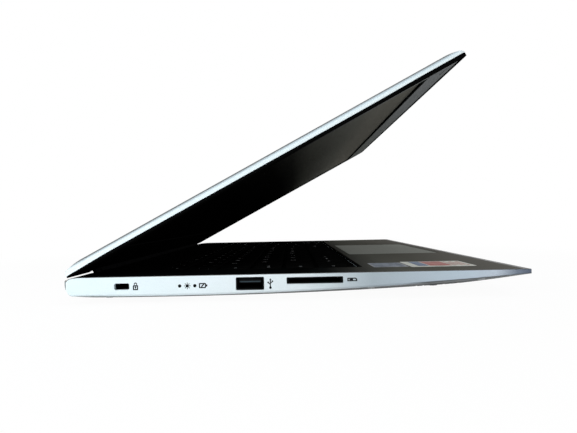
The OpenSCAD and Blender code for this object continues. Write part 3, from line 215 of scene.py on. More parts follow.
def silver_paint():
    """Side wall: a painted run of light and shade along its length, in place of the fall of light and
    reflections; painted shade on the flank below its front; and warm grey painted shade on the rear
    corner, where it turns away from the light, behind a thin joint line."""
    flank_y = 49.9  # the flank starts this far ahead of the part's middle
    flank_z = 7.1  # height of its upper edge there
    flank_slope = 0.0422
    flank_bend = 0.000319
    flank_fade = 14.0
    blur = 0.1
    corner_in = 5.5  # centre of the corner's arc, from the rear edge and from the deck
    corner_down = 5.0
    joint = (4.75, 4.85)  # edges of the joint line, as distances from that centre
    beyond = (5.0, 5.1)

    m = Mat("silver_paint", spec=0.3)
    pos = m.place()
    speck = m.speckle((0.94, 0.94, 0.94), (1.0, 1.0, 1.0), PAINT_GRAIN, 2)
    # Painted light and shade: the run of tones along the wall stands in for the fall of light and
    # reflections
    tone = m.ramp(m.share(pos["Y"], -REAR_Y, REAR_Y), [
        (0.0, srgb(88, 98, 118)), (0.035, srgb(132, 142, 158)), (0.08, srgb(214, 224, 236)),
        (0.14, srgb(206, 220, 232)), (0.34, srgb(182, 193, 200)), (0.50, srgb(238, 246, 249)),
        (0.66, srgb(240, 248, 251)), (1.0, srgb(228, 241, 244))])

    # Painted shade: the flank below the wall's front faces down and is painted dark grey
    ahead = m.larger(m.times(m.plus(pos["Y"], flank_y), -1.0), 0.0)
    rise = m.times(ahead, m.plus(m.times(ahead, flank_bend), flank_slope))
    painted_flank_shade = m.above(m.plus(m.times(pos["Z"], -1.0), m.plus(rise, flank_z)), -blur, blur)
    painted_flank_shade = m.times(painted_flank_shade, m.above(ahead, 0.0, flank_fade))
    skin = m.mix(painted_flank_shade, m.product(tone, speck), srgb(92, 97, 100))

    # Painted shade: warm grey beyond the joint line, where the rear corner turns away from the light
    dy = m.larger(m.plus(pos["Y"], corner_in - REAR_Y), 0.0)
    dz = m.larger(m.plus(pos["Z"], corner_down - DECK), 0.0)
    far = m.calc("SQRT", m.plus(m.times(dy, dy), m.times(dz, dz)))
    skin = m.mix(m.above(far, *joint), skin, srgb(70, 70, 70))
    m.paint(m.mix(m.above(far, *beyond), skin, srgb(196, 190, 184)))
    m.roughness(0.38, 0.46, 60)
    m.bump(5200, 0.00002, 0.08)
    return m.mat


def lid_paint():
    """Lid cover: grey back, and sides with painted light and reflection that run from light to dark
    across their height, painted lighter towards the free edge."""
    side_margin = (HALF_W - 4.0, HALF_W - 2.0)
    bright_end = (-190.0, -60.0)

    m = Mat("lid_paint", spec=0.3)
    pos = m.along_lid()
    height = m.plus(pos["Z"], m.times(m.noise(PAINT_GRAIN, 2), 0.05))
    height = m.share(height, COVER_LOW, COVER_TOP)
    # Painted light and shade: the side ramps stand in for reflections on the rounded edge, lighter
    # towards the free edge
    near = m.ramp(height, [
        (0.0, srgb(232, 242, 246)), (0.34, srgb(226, 237, 242)), (0.50, srgb(206, 217, 222)),
        (0.62, srgb(184, 193, 197)), (0.74, srgb(138, 145, 148)), (0.82, srgb(78, 82, 84)),
        (1.0, srgb(60, 63, 64))])
    far = m.ramp(height, [
        (0.0, srgb(246, 253, 254)), (0.30, srgb(240, 251, 254)), (0.50, srgb(216, 230, 237)),
        (0.62, srgb(192, 205, 212)), (0.74, srgb(158, 165, 168)), (0.82, srgb(92, 96, 98)),
        (1.0, srgb(70, 73, 75))])
    side = m.mix(m.below(pos["Y"], *bright_end), near, far)
    back = m.speckle(srgb(176, 186, 191), srgb(184, 194, 199), PAINT_GRAIN, 2)
    m.paint(m.mix(m.above(m.calc("ABSOLUTE", pos["X"]), *side_margin), back, side))
    m.roughness(0.34, 0.42, 45)
    m.bump(5200, 0.00002, 0.06)
    return m.mat


def deck_brushed():
    """Deck: brushed warm grey on the palm rest, with painted shade from the lid that runs it out to black
    beside the keyboard, and the rim round the keyboard's well painted black as shade."""
    palm_front = -115.0
    palm_end = 0.0
    streak = 8.0
    rim_x = (139.4, 139.7)
    rim_y = (-35.5, -35.2)

    m = Mat("deck_brushed", spec=0.0)
    pos = m.place()
    along = m.plus(pos["Y"], m.times(m.noise(260, 3, (0.06, 9, 1)), streak))
    # Painted shade: the palm rest's own warm grey darkens to black towards the keyboard, in the lid's
    # shade
    tone = m.ramp(m.share(along, palm_front, palm_end), [
        (0.0, srgb(102, 100, 95)), (0.18, srgb(98, 96, 91)), (0.40, srgb(90, 89, 83)),
        (0.58, srgb(87, 87, 81)), (0.70, srgb(70, 70, 66)), (0.80, srgb(44, 44, 42)),
        (0.90, srgb(19, 20, 20)), (1.0, srgb(6, 7, 7))])
    # Painted shade: the rim round the keyboard's well is painted black
    beside = m.above(m.calc("ABSOLUTE", pos["X"]), *rim_x)
    outside_shaded_well = m.larger(beside, m.below(pos["Y"], *rim_y))
    m.paint(m.mix(outside_shaded_well, srgb(8, 8, 8), tone))
    m.roughness(0.55, 0.66, 120, 2, (0.1, 6, 1))
    m.bump(420, 0.00002, 0.2, 2, (0.05, 9, 1))
    return m.mat


def bezel_grey():
    """Bezel: painted light in grey on the band along the free edge, lighter towards the left, dark
    strips elsewhere with painted shade darker towards the hinge, a painted highlight line beside the
    screen, black borders and walls, and a silver seam below the cover."""
    strip_end = (-SCREEN_TOP - 2.2, -SCREEN_TOP - 1.6)
    line_end = (-SCREEN_TOP - 2.0, -SCREEN_TOP - 1.0)
    line_in = (HALF_W - 8.2, HALF_W - 8.0)
    border = (HALF_W - 5.7, HALF_W - 5.3)
    free_edge = (-222.1, -221.7)
    wall = (LID_LOW + 0.25, LID_LOW + 0.45)
    seam_low = (LID_LOW + 1.15, LID_LOW + 1.3)

    m = Mat("bezel_grey", spec=0.0)
    pos = m.along_lid()
    off = m.calc("ABSOLUTE", pos["X"])
    grain = m.noise(500, 3)
    # Painted light: the grey of the band along the free edge on black plastic, lighter towards the left
    # side
    across = m.above(pos["X"], -HALF_W, HALF_W)
    strip = m.mix(across, srgb(136, 138, 140), srgb(98, 99, 93))
    strip = m.mix(grain, strip, srgb(108, 110, 108))
    # Painted shade: the dark strips beside the screen get darker towards the hinge
    sides = m.ramp(grain, [(GRAIN_LOW, srgb(10, 10, 10)), (GRAIN_HIGH, srgb(16, 16, 15))])
    sides = m.mix(m.above(pos["Y"], -SCREEN_TOP, -105.0), sides, srgb(4, 4, 4))
    face = m.mix(m.above(pos["Y"], *strip_end), strip, sides)

    edge = m.larger(m.above(off, *border), m.below(pos["Y"], *free_edge))
    face = m.mix(edge, face, srgb(10, 10, 10))
    # Painted highlight: a light line beside the screen that fades to black towards the hinge
    line = m.times(m.above(off, *line_in), m.above(pos["Y"], *line_end))
    line = m.times(line, m.below(off, *border))
    glint = m.mix(m.above(pos["Y"], -SCREEN_TOP, -120.0), srgb(120, 122, 120), srgb(6, 6, 6))
    face = m.mix(line, face, glint)
    face = m.mix(m.above(pos["Z"], *wall), face, srgb(9, 9, 10))

    # the seam is thicker by the hinge and thinner towards the free edge
    seam = m.plus(pos["Z"], m.times(m.above(pos["Y"], -26.0, 0.0), 0.6))
    seam = m.plus(seam, m.times(m.below(pos["Y"], -215.0, -165.0), -0.5))
    m.paint(m.mix(m.above(seam, *seam_low), face, srgb(238, 247, 250)))
    m.roughness(0.5, 0.6, 120)
    m.bump(3200, 0.00004, 0.35)
    return m.mat


def screen_off():
    """Screen, switched off: a painted olive reflection that fades to black towards the hinge."""
    dark_from = -80.0
    drift = 14.0

    m = Mat("screen_off", spec=0.0)
    # Painted reflection and shade: olive grey near the free edge, black towards the hinge
    along = m.plus(m.along_lid()["Y"], m.times(m.noise(7, 4), drift))
    m.paint(m.ramp(m.share(along, -SCREEN_TOP, dark_from), [
        (0.0, srgb(98, 96, 88)), (0.22, srgb(104, 102, 95)), (0.34, srgb(92, 92, 86)),
        (0.46, srgb(78, 78, 73)), (0.56, srgb(64, 64, 59)), (0.66, srgb(30, 30, 28)),
        (0.76, srgb(10, 10, 9)), (1.0, srgb(3, 3, 3))]))
    m.roughness(0.42, 0.55, 22, 4)
    m.bump(4000, 0.00001, 0.15)
    return m.mat


def port_shell():
    """Shells of the ports, painted near black as shade inside the sockets, with a paler front on the
    left socket's tongue.
    """
    tongue_y = 23.4
    tongue_half = (4.9, 5.2)
    tongue_low = (9.0, 9.1)
    tongue_top = (9.55, 9.65)
    tongue_in = (-161.5, -161.4)
    tongue_out = (-162.2, -162.1)

    m = Mat("port_shell", spec=0.05)
    pos = m.place()
    # Painted shade: the shells are painted near black, as in shade inside the sockets
    shaded_shell = m.speckle(srgb(8, 9, 10), srgb(14, 15, 16), 500, 2)
    off = m.calc("ABSOLUTE", m.plus(pos["Y"], -tongue_y))
    bar = m.times(m.above(pos["Z"], *tongue_low), m.below(pos["Z"], *tongue_top))
    bar = m.times(bar, m.below(off, *tongue_half))
    bar = m.times(bar, m.below(pos["X"], *tongue_in))
    bar = m.times(bar, m.above(pos["X"], *tongue_out))
    m.paint(m.mix(bar, shaded_shell, srgb(58, 70, 76)))
    m.roughness(0.35, 0.48, 300)
    m.bump(1800, 0.00002, 0.2)
    return m.mat


def speckled(name, dark, light, grain, rough, bump, **shader):
    """A plain material: speckled colour, uneven roughness and a fine bump. The last three are
    the arguments of speckle, roughness and bump."""
    m = Mat(name, **shader)
    m.paint(m.speckle(srgb(*dark), srgb(*light), *grain))
    m.roughness(*rough)
    m.bump(*bump)
    return m.mat


M = {
    "silver": silver_paint(),
    "lid": lid_paint(),
    "deck": deck_brushed(),
    "bezel": bezel_grey(),
    "screen": screen_off(),
    "port": port_shell(),
    "base_grey": speckled("base_grey", (112, 116, 117), (122, 126, 127), (700, 3),
                          (0.55, 0.68, 140), (2400, 0.00005, 0.4), spec=0.1),
    "lattice": speckled("keyboard_black", (8, 8, 8), (12, 12, 12), (700, 2),
                        (0.5, 0.62, 90), (2600, 0.00003, 0.3), spec=0.0),
    "key": speckled("keycap", (9, 9, 9), (14, 14, 14), (120, 3),
                    (0.4, 0.58, 160), (4200, 0.00003, 0.35), spec=0.0),
    "ink": speckled("legend_ink", (88, 90, 92), (108, 110, 112), (900, 2),
                    (0.5, 0.6, 300), (6000, 0.00001, 0.2), spec=0.3),
    "pad": speckled("touchpad_face", (132, 134, 129), (140, 142, 136), (900, 3),
                    (0.4, 0.48, 300), (6000, 0.00002, 0.3), spec=0.0),
    "black": speckled("black_plastic", (10, 10, 11), (17, 17, 18), (420, 2),
                      (0.42, 0.55, 150), (3000, 0.00004, 0.3), spec=0.0),
    "rubber": speckled("rubber", (22, 22, 22), (36, 36, 36), (300, 3),
                       (0.75, 0.88, 120), (1500, 0.00008, 0.4), spec=0.25),
    "steel": speckled("steel", (150, 152, 155), (186, 188, 190), (350, 3, (0.2, 4, 1)),
                      (0.28, 0.42, 200), (900, 0.00002, 0.2, 2, (0.2, 4, 1)), metallic=1.0),
    "port_dark": speckled("port_dark", (10, 10, 11), (18, 18, 19), (500, 2),
                          (0.4, 0.5, 300), (2500, 0.00003, 0.2), spec=0.1),
    # Painted shade: the gold is dimmed, as in shade deep in the ports
    "gold": speckled("gold_contact", (96, 78, 48), (118, 97, 60), (900, 2),
                     (0.3, 0.4, 400), (2500, 0.00001, 0.2), metallic=1.0),
    "copper": speckled("copper", (176, 108, 72), (206, 136, 96), (120, 3, (0.3, 3, 1)),
                       (0.3, 0.45, 90), (700, 0.00003, 0.25), metallic=1.0),
    "board": speckled("circuit_board", (14, 62, 34), (28, 92, 52), (340, 4, (1, 0.25, 1)),
                      (0.35, 0.5, 200), (480, 0.00006, 0.4, 3, (1, 0.25, 1)), spec=0.45, coat=0.3),
    "battery": speckled("battery_wrap", (26, 26, 29), (38, 38, 41), (60, 4),
                        (0.32, 0.46, 60), (320, 0.00008, 0.3, 3), spec=0.4),
    "lens": speckled("smoked_lens", (10, 11, 12), (16, 17, 18), (1500, 2),
                     (0.2, 0.3, 600), (3000, 0.00001, 0.1), spec=0.1),
    "icon": speckled("icon_print", (4, 5, 5), (9, 10, 10), (1500, 2),
                     (0.5, 0.6, 500), (4000, 0.00001, 0.1), spec=0.0),
}
LABEL_INKS = {
    "label_edge": ((92, 96, 104), (128, 132, 138)),
    "label_blue": ((74, 84, 98), (104, 114, 126)),
    "label_white": ((176, 178, 170), (198, 200, 192)),
    "label_navy": ((66, 84, 112), (92, 110, 134)),
    "label_red": ((136, 72, 68), (156, 92, 84)),
    "label_bar": ((146, 104, 98), (164, 122, 114)),
}
for name, (dark, light) in LABEL_INKS.items():
    M[name] = speckled(name, dark, light, (260, 3, (0.5, 1, 1)),
                       (0.4, 0.5, 200), (2600, 0.00001, 0.1), spec=0.03)

USE = {
    "silver": ["side_frame"],
    "base_grey": ["bottom_cover"],
    "lid": ["lid_cover"],
    "deck": ["deck_plate"],
    "lattice": ["keyboard_frame", "keyboard_plate"],
    "pad": ["touchpad"],
    "bezel": ["screen_bezel", "lid_bumpers"],
    "screen": ["display_panel"],
    "black": ["hinge_cover", "hinge_brackets", "hinge_arms", "fan_housing", "fan_impeller",
              "speakers", "camera_module"],
    "rubber": ["rubber_feet"],
    "steel": ["hinge_screws", "lid_screws", "bottom_screws"],
    "port": ["usb_port_left", "usb_port_right", "usb_c_port", "hdmi_port", "card_reader"],
    "port_dark": ["audio_jack", "power_jack"],
    "copper": ["heat_sink"],
    "board": ["motherboard", "io_board", "solid_state_drive", "memory_module", "wireless_card"],
    "battery": ["battery_pack"],
    "lens": ["light_pipes"],
    "key": [n for n in NODES if n.startswith(("key_", "keys_")) or n == "power_button"],
}
for name, nodes in USE.items():
    for n in nodes:
        o = NODES[n]
        o.data.materials.clear()
        o.data.materials.append(M[name])


# ---- pieces ---------------------------------------------------------------

def piece(name, bm, mat, body):
    me = bpy.data.meshes.new(name)
    bmesh.ops.recalc_face_normals(bm, faces=bm.faces)
    bm.to_mesh(me)
    bm.free()
    me.materials.append(M[mat])
    o = bpy.data.objects.new(name, me)
    bpy.context.scene.collection.objects.link(o)
    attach(o, body)


class Sheet:
    """Flat shapes in one mesh. place(u, v, w) gives a point in mm; w runs through the thickness."""

    def __init__(self, place, thick):
        self.bm = bmesh.new()
        self.place = place
        self.thick = thick

    def row(self, points, w):
        return [self.bm.verts.new(Vector(self.place(u, v, w)) * MM) for u, v in points]

    def wall(self, a, b):
        """Faces between two closed rows of points."""
        for i in range(len(a)):
            j = (i + 1) % len(a)
            self.bm.faces.new([a[i], a[j], b[j], b[i]])

    def plate(self, points):
        low = self.row(points, 0)
        high = self.row(points, self.thick)
        self.bm.faces.new(high)
        self.bm.faces.new(low[::-1])
        self.wall(low, high)

    def ring(self, outer, inner):
        """Between two outlines with the same number of points."""
        rows = [self.row(outer, 0), self.row(outer, self.thick),
                self.row(inner, self.thick), self.row(inner, 0)]
        for a, b in zip(rows, rows[1:] + rows[:1]):
            self.wall(a, b)

    def done(self, name, mat, body):
        piece(name, self.bm, mat, body)


def rect(u0, v0, u1, v1, r=0.0, n=4):
    """Corner points of a rectangle, with corners of radius r in n steps."""
    if r <= 0:
        return [(u0, v0), (u1, v0), (u1, v1), (u0, v1)]
    out = []
    corners = ((u1 - r, v1 - r, 0), (u0 + r, v1 - r, 90), (u0 + r, v0 + r, 180), (u1 - r, v0 + r, 270))
    for cu, cv, start in corners:
        for i in range(n + 1):
            t = math.radians(start + 90 * i / n)
            out.append((cu + r * math.cos(t), cv + r * math.sin(t)))
    return out


def disc(cu, cv, r, n=20):
    turns = [2 * math.pi * i / n for i in range(n)]
    return [(cu + r * math.cos(t), cv + r * math.sin(t)) for t in turns]


def arc(cu, cv, ru, rv, start, sweep, n):
    """Points of an arc with radii ru and rv, in degrees."""
    turns = [math.radians(start + sweep * i / n) for i in range(n + 1)]
    return [(cu + ru * math.cos(t), cv + rv * math.sin(t)) for t in turns]


def stroke(u0, v0, u1, v1, w):
    """A straight bar of width w."""
    d = Vector((u1 - u0, v1 - v0)).normalized()
    s = Vector((-d.y, d.x)) * w / 2
    return [(u0 + s.x, v0 + s.y), (u0 - s.x, v0 - s.y), (u1 - s.x, v1 - s.y), (u1 + s.x, v1 + s.y)]


# ---- printed signs beside the ports ---------------------------------------

PRINT_T = 0.012
SIDE_LIFT = 0.004
LAMP_V = -5.0


def on_left(u, v, w):
    """On the left side wall: u is the way to the front, v the height from the deck."""
    return (-HALF_W - SIDE_LIFT - w, -u, DECK + v)


def on_right(u, v, w):
    """On the right side wall: u is the way to the rear."""
    return (HALF_W + SIDE_LIFT + w, u, DECK + v)


def padlock(s, u):
    s.ring(rect(u - 1.25, -6.6, u + 1.25, -4.2, 0.3), rect(u - 0.7, -6.05, u + 0.7, -4.75, 0.15))
    s.ring(rect(u - 0.8, -4.3, u + 0.8, -2.9, 0.75), rect(u - 0.35, -4.3, u + 0.35, -3.4, 0.32))
    s.plate(disc(u, -5.2, 0.42))
    s.plate(stroke(u, -5.2, u, -5.95, 0.4))


def lamp_rim(s, u):
    s.ring(disc(u, LAMP_V, 0.82), disc(u, LAMP_V, 0.5))


def lamp_with_rays(s, u):
    s.plate(disc(u, LAMP_V, 0.8))
    for i in range(8):
        t = math.pi * i / 4
        du = math.cos(t)
        dv = math.sin(t)
        s.plate(stroke(u + 0.95 * du, LAMP_V + 0.95 * dv, u + 1.6 * du, LAMP_V + 1.6 * dv, 0.36))


def battery(s, u):
    """Case, cap and slanting bar."""
    s.ring(rect(u - 1.75, -6.25, u + 1.75, -3.75, 0.5), rect(u - 1.2, -5.7, u + 1.2, -4.3, 0.2))
    s.plate(rect(u + 1.77, -5.5, u + 2.35, -4.5, 0.1))
    s.plate(stroke(u - 0.55, -5.6, u + 0.65, -4.3, 0.6))


def branched_lead(s, u):
    """A lead with an arrow tip and two branches."""
    s.plate(stroke(u, -2.9, u, -6.4, 0.5))
    s.plate([(u - 0.55, -3.0), (u + 0.55, -3.0), (u, -2.1)])
    s.plate(stroke(u + 0.05, -5.2, u - 1.0, -4.3, 0.4))
    s.plate(disc(u - 1.05, -4.1, 0.42))
    s.plate(stroke(u - 0.05, -4.6, u + 0.95, -3.9, 0.4))
    s.plate(rect(u + 0.65, -3.9, u + 1.35, -3.2))
    s.plate(disc(u, -6.7, 0.6))


def memory_card(s, u):
    """Outline with a cut corner, and a bar in it."""
    s.ring([(u - 2.4, -4.3), (u + 2.4, -4.3), (u + 2.4, -3.3), (u + 1.7, -2.6), (u - 2.4, -2.6)],
           [(u - 1.8, -3.85), (u + 1.8, -3.85), (u + 1.8, -3.45), (u + 1.4, -3.1), (u - 1.8, -3.1)])
    s.plate(rect(u - 1.4, -3.8, u + 0.4, -3.15))


def power_dot(s, u):
    s.ring(disc(u, -4.6, 1.1), disc(u, -4.6, 0.82))
    s.plate(disc(u, -4.6, 0.4))


def display(s, u):
    s.ring(rect(u - 1.2, -5.4, u + 1.2, -3.7, 0.15), rect(u - 0.9, -5.1, u + 0.9, -4.0, 0.1))
    s.plate(rect(u - 0.5, -5.9, u + 0.5, -5.65))


def plug(s, u):
    s.ring(rect(u - 0.95, -4.3, u + 0.95, -2.9, 0.2), rect(u - 0.65, -4.0, u + 0.65, -3.2, 0.1))
    s.plate(stroke(u, -4.3, u, -6.0, 0.26))
    s.plate(disc(u, -6.1, 0.4))


def headset(s, u):
    """Bow and two cups."""
    bow = arc(u, -5.0, 1.25, 1.35, 0, 180, 14)
    s.plate(bow + arc(u, -5.0, 0.98, 1.08, 0, 180, 14)[::-1])
    s.plate(rect(u - 1.4, -5.9, u - 0.75, -4.9, 0.2))
    s.plate(rect(u + 0.75, -5.9, u + 1.4, -4.9, 0.2))


left = Sheet(on_left, PRINT_T)
padlock(left, -79.25)
for pipe_u in (-57.7, -50.3):
    lamp_rim(left, pipe_u)
lamp_with_rays(left, -54.0)
battery(left, -46.55)
branched_lead(left, -13.45)
memory_card(left, 26.5)
left.done("side_signs_left", "icon", "base")

right = Sheet(on_right, PRINT_T)
power_dot(right, 80.6)
display(right, 55.4)
for plug_u in (34.15, 15.55):
    plug(right, plug_u)
headset(right, -1.0)
right.done("side_signs_right", "icon", "base")


# ---- contacts in the ports ------------------------------------------------

CONTACT_HALF_T = 0.06
CONTACT_PITCH = 2.0  # in widths of a strip


def contacts(name, node, side, count, width, length, depth, lift):
    """Gold strips on the underside of a port's tongue, from depth inwards."""
    lo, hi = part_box(node)
    mid = (lo + hi) / 2 / MM
    v = mid.z + lift
    strips = Sheet(lambda a, b, w: (side * (HALF_W - depth - w), a, b), length)
    for i in range(count):
        u = mid.y + (i - (count - 1) / 2) * width * CONTACT_PITCH
        strips.plate(rect(u - width / 2, v - CONTACT_HALF_T, u + width / 2, v + CONTACT_HALF_T))
    strips.done(name, "gold", "base")


contacts("usb_left_contacts", "usb_port_left", -1, 4, 1.0, 5.0, 9.0, -0.55)
contacts("usb_right_contacts", "usb_port_right", 1, 4, 1.0, 5.0, 9.0, -0.55)
contacts("card_contacts", "card_reader", -1, 9, 1.1, 3.0, 9.0, -0.9)
contacts("usb_c_contacts", "usb_c_port", 1, 10, 0.25, 3.5, 2.0, -0.42)


# ---- key legends ----------------------------------------------------------

COLUMNS = 15
PITCH_X = 18.3
PITCH_Y = 18.2
FUNCTION_PITCH_Y = 12.4
FUNCTION_ROW = 5
KEY_GAP = 2.6
KEYS_FRONT = -28.0
KEYS_W = COLUMNS * PITCH_X
ONE_KEY = 1.05  # a key up to this width has its words centred
# Sizes of type: one letter, two signs above each other, a word
LETTER = 4.4
PAIR = 3.2
WORD = 2.7
# Where the type stands on its key
TEXT_IN = 2.6
PAIR_UP = 2.4
PAIR_LINE = 6.2
LETTER_DOWN = 5.6
WORD_DOWN = 1.0
LEGEND_HALF_T = 0.008


def glyphs(text, size):
    """A flat mesh of the text, in metres."""
    curve = bpy.data.curves.new("legend", "FONT")
    curve.body = text
    curve.size = size * MM
    curve.resolution_u = 3
    curve.extrude = LEGEND_HALF_T * MM
    o = bpy.data.objects.new("legend", curve)
    bpy.context.scene.collection.objects.link(o)
    deps = bpy.context.evaluated_depsgraph_get()
    me = bpy.data.meshes.new_from_object(o.evaluated_get(deps))
    bpy.data.objects.remove(o)
    bpy.data.curves.remove(curve)
    return me


def legends(node, row, first, entries):
    """entries: (text, width) per key from the column first on; 'a|b' puts b above a."""
    bm = bmesh.new()
    column = first
    depth = (FUNCTION_PITCH_Y if row == FUNCTION_ROW else PITCH_Y) - KEY_GAP
    y = KEYS_FRONT + row * PITCH_Y
    for text, width in entries:
        x = column * PITCH_X - KEYS_W / 2 + KEY_GAP / 2
        key_w = width * PITCH_X - KEY_GAP
        column += width
        parts = text.split("|")
        pair = len(parts) == 2
        letter = len(text) == 1
        size = WORD
        if pair:
            size = PAIR
        elif letter:
            size = LETTER
        for i, part in enumerate(parts):
            me = glyphs(part, size)
            text_w = max(v.co.x for v in me.vertices) / MM
            dx = TEXT_IN
            if len(part) > 1 and width <= ONE_KEY:
                dx = (key_w - text_w) / 2
            if pair:
                dy = PAIR_UP + i * PAIR_LINE
            elif letter:
                dy = depth - LETTER_DOWN
            else:
                dy = depth / 2 - WORD_DOWN
            me.transform(Matrix.Translation(Vector((x + dx, y + dy, DECK + LEGEND_HALF_T)) * MM))
            bm.from_mesh(me)
            bpy.data.meshes.remove(me)
    piece("legend_" + node, bm, "ink", node + "_body")


def plain(texts):
    return [(t, 1) for t in texts]


NUMBER_ROW = ["`|~", "1|!", "2|@", "3|#", "4|$", "5|%", "6|^", "7|&", "8|*", "9|(", "0|)", "-|_", "=|+"]
legends("keys_function_row", 5, 1, plain(["F%d" % i for i in range(1, 13)] + ["del"]))
legends("key_escape", 5, 0, [("esc", 1)])
legends("keys_number_row", 4, 0, plain(NUMBER_ROW))
legends("key_backspace", 4, 13, [("back", 2)])
legends("key_tab", 3, 0, [("tab", 1.5)])
legends("keys_upper_row", 3, 1.5, plain([*"QWERTYUIOP", "[|{", "]|}"]) + [("\\", 1.5)])
legends("key_caps_lock", 2, 0, [("caps lock", 1.75)])
legends("keys_home_row", 2, 1.75, plain([*"ASDFGHJKL", ";|:", "'|\""]))
legends("key_enter", 2, 12.75, [("enter", 2.25)])
legends("key_shift_left", 1, 0, [("shift", 2.25)])
legends("keys_lower_row", 1, 2.25, plain([*"ZXCVBNM", ",|<", ".|>", "/|?"]))
legends("key_shift_right", 1, 12.25, [("shift", 2.75)])
legends("key_ctrl_left", 0, 0, [("ctrl", 1.4)])
legends("key_fn", 0, 1.4, [("fn", 1)])
legends("key_menu", 0, 2.4, [("menu", 1)])
legends("key_alt_left", 0, 3.4, [("alt", 1.1)])
legends("key_alt_right", 0, 9.5, [("alt", 1)])
legends("key_ctrl_right", 0, 10.5, [("ctrl", 1.5)])


# ---- arrows and power sign ------------------------------------------------

DECK_LIFT = 0.006
ARROWS = {"key_arrow_left": 180, "key_arrow_up": 90, "key_arrow_down": 270, "key_arrow_right": 0}
ARROW_R = 1.3
ARROW_CORNERS = (0, 130, 230)
POWER_R = 1.7
POWER_IN_R = 1.35
POWER_ARC = (120, 300, 24)  # start and sweep in degrees, steps


def on_deck(u, v, w):
    return (u, v, DECK + DECK_LIFT + w)


for node, turn in ARROWS.items():
    lo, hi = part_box(node)
    c = (lo + hi) / 2 / MM
    corners = [math.radians(a + turn) for a in ARROW_CORNERS]
    head = Sheet(on_deck, PRINT_T)
    head.plate([(c.x + ARROW_R * math.cos(t), c.y + ARROW_R * math.sin(t)) for t in corners])
    head.done("legend_" + node, "ink", node + "_body")

lo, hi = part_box("power_button")
c = (lo + hi) / 2 / MM
power = Sheet(on_deck, PRINT_T)
outer = arc(c.x, c.y, POWER_R, POWER_R, *POWER_ARC)
inner = arc(c.x, c.y, POWER_IN_R, POWER_IN_R, *POWER_ARC)
power.plate(outer + inner[::-1])
power.plate(stroke(c.x, c.y + 0.5, c.x, c.y + 2.1, 0.35))
power.done("legend_power_button", "ink", "power_button_body")


# ---- blank stickers on the palm rest --------------------------------------

STICKER_T = 0.05
PANEL_T = 0.065
BLUE = (-143.0, -59.8, -121.0, -41.0)
PALE = (-145.0, -95.0, -117.0, -60.6)


def panel(name, mat, thick, *outlines):
    """A piece of the sticker, without lettering."""
    s = Sheet(on_deck, thick)
    for outline in outlines:
        s.plate(outline)
    s.done(name, mat, "base")


x0, y0, x1, y1 = BLUE
panel("sticker_blue_edge", "label_edge", STICKER_T, rect(*BLUE, 1.2))
panel("sticker_blue_panel", "label_blue", PANEL_T, rect(x0 + 3.0, y0 + 1.2, x1 - 0.6, y1 - 1.2, 0.8))
x0, y0, x1, y1 = PALE
panel("sticker_pale_edge", "label_white", STICKER_T, rect(*PALE, 1.4))
panel("sticker_pale_top", "label_navy", PANEL_T, rect(x0 + 4.5, y1 - 10.5, x1 - 1.0, y1 - 4.6, 0.8))
panel("sticker_pale_middle", "label_red", PANEL_T, rect(x0 + 4.0, y0 + 11.5, x1 - 1.5, y1 - 11.0, 0.8))
bars = []
for i in range(5):
    short = i % 2
    bar_y = y0 + 1.8 + 1.9 * i
    bars.append(rect(x0 + 4.0 + 2.0 * short, bar_y, x1 - 3.0 - 3.5 * short, bar_y + 1.1))
panel("sticker_pale_bars", "label_bar", PANEL_T, *bars)


# ---- camera ---------------------------------------------------------------

# Solved from the photograph: place in metres, angles in degrees, focal length in its pixels
CAMERA_AT = (-0.38226, 0.00337, 0.03937)
YAW = 0.153
PITCH = 0.377
ROLL = -1.155
FOCAL_PX = 449.63
PHOTO_W_PX = 577
SENSOR = 36

yaw, pitch, roll = (math.radians(a) for a in (YAW, PITCH, ROLL))
ahead = Vector((math.cos(pitch) * math.cos(yaw), math.cos(pitch) * math.sin(yaw), math.sin(pitch)))
side = Vector((math.sin(yaw), -math.cos(yaw), 0))
up = side.cross(ahead)
across = side * math.cos(roll) + up * math.sin(roll)
top = -side * math.sin(roll) + up * math.cos(roll)
cam_data = bpy.data.cameras.new("camera")
cam_data.sensor_width = SENSOR
cam_data.lens = FOCAL_PX / PHOTO_W_PX * SENSOR
cam_data.clip_start = 0.01
cam_data.clip_end = 50
cam = bpy.data.objects.new("camera", cam_data)
cam.matrix_world = Matrix((
    (across.x, top.x, -ahead.x, CAMERA_AT[0]),
    (across.y, top.y, -ahead.y, CAMERA_AT[1]),
    (across.z, top.z, -ahead.z, CAMERA_AT[2]),
    (0, 0, 0, 1)))
bpy.context.scene.collection.objects.link(cam)
bpy.context.scene.camera = cam


# ---- floor, lights and background -----------------------------------------

FLOOR_R = 6
FLOOR_DROP = 0.0003
FADE_FROM = 0.4  # share of the reach where the floor starts to turn plain white


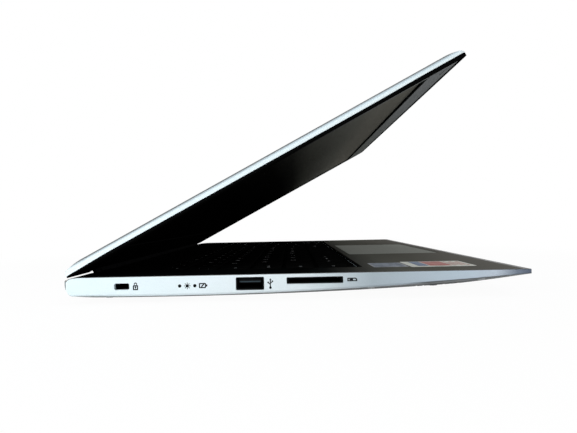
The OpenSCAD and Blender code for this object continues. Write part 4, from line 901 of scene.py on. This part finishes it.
def seen_white(tree, shader, out, amount=1.0, reach=None):
    """Shows white to the camera, and in gloss and glass, over what the shader gives: the floor
    keeps part of its shading near the laptop and is plain white beyond the reach in metres."""
    def operate(operation, a, b):
        node = tree.nodes.new("ShaderNodeMath")
        node.operation = operation
        for socket, value in zip(node.inputs, (a, b)):
            if isinstance(value, float):
                socket.default_value = value
            else:
                tree.links.new(value, socket)
        return node.outputs[0]

    rays = tree.nodes.new("ShaderNodeLightPath").outputs
    seen = operate("MAXIMUM", rays["Is Camera Ray"], rays["Is Glossy Ray"])
    seen = operate("MAXIMUM", seen, rays["Is Transmission Ray"])
    cover = amount
    if reach:
        coords = tree.nodes.new("ShaderNodeTexCoord")
        dist = tree.nodes.new("ShaderNodeVectorMath")
        dist.operation = "LENGTH"
        tree.links.new(coords.outputs["Object"], dist.inputs[0])
        fade = tree.nodes.new("ShaderNodeMapRange")
        fade.interpolation_type = "SMOOTHSTEP"
        fade.inputs["From Min"].default_value = reach * FADE_FROM
        fade.inputs["From Max"].default_value = reach
        fade.inputs["To Min"].default_value = amount
        tree.links.new(dist.outputs["Value"], fade.inputs["Value"])
        cover = fade.outputs["Result"]
    mix = tree.nodes.new("ShaderNodeMixShader")
    white = tree.nodes.new("ShaderNodeBackground" if out.type == "OUTPUT_WORLD" else "ShaderNodeEmission")
    white.inputs["Color"].default_value = (1, 1, 1, 1)
    white.inputs["Strength"].default_value = 1.0
    tree.links.new(operate("MULTIPLY", seen, cover), mix.inputs["Fac"])
    tree.links.new(shader, mix.inputs[1])
    tree.links.new(white.outputs[0], mix.inputs[2])
    tree.links.new(mix.outputs[0], out.inputs["Surface"])


world = bpy.data.worlds.new("world")
world.use_nodes = True
bpy.context.scene.world = world
sky = world.node_tree.nodes["Background"]
sky.inputs["Color"].default_value = (0.93, 0.96, 1.0, 1)
sky.inputs["Strength"].default_value = 0.15
seen_white(world.node_tree, sky.outputs[0], world.node_tree.nodes["World Output"])

bm = bmesh.new()
bmesh.ops.create_circle(bm, cap_ends=True, radius=FLOOR_R, segments=96)
me = bpy.data.meshes.new("floor")
bm.to_mesh(me)
bm.free()
floor = bpy.data.objects.new("floor", me)
floor.location.z = -FLOOR_DROP
bpy.context.scene.collection.objects.link(floor)
ground = bpy.data.materials.new("floor")
ground.use_nodes = True
matt = ground.node_tree.nodes["Principled BSDF"]
matt.inputs["Base Color"].default_value = (0.74, 0.75, 0.76, 1)
matt.inputs["Roughness"].default_value = 0.8
matt.inputs["Specular IOR Level"].default_value = 0.1
seen_white(ground.node_tree, matt.outputs[0], ground.node_tree.nodes["Material Output"], 0.96, 0.4)
me.materials.append(ground)


def lamp(name, at, target, width, height, power, color=(1, 1, 1)):
    """An area lamp, in metres and watts, that isn't seen itself."""
    data = bpy.data.lights.new(name, "AREA")
    data.shape = "RECTANGLE"
    data.size = width
    data.size_y = height
    data.energy = power
    data.color = color
    o = bpy.data.objects.new(name, data)
    o.location = at
    o.rotation_euler = (Vector(target) - Vector(at)).to_track_quat("-Z", "Y").to_euler()
    o.visible_camera = False
    o.visible_glossy = False
    bpy.context.scene.collection.objects.link(o)


lamp("key", (-0.46, 0.34, 0.21), (-0.163, 0.09, 0.01), 0.3, 0.22, 1.85, (0.93, 0.985, 1.0))
lamp("fill", (0.15, -1.3, 0.3), (0, -0.05, 0.06), 0.8, 0.4, 5)
lamp("front", (-0.45, -1.1, 1.8), (0, -0.05, 0.02), 1.2, 0.8, 15)
lamp("top", (0.2, 0.3, 2.2), (0, 0, 0), 1.8, 1.8, 14)

bpy.context.scene.view_settings.view_transform = "Standard"
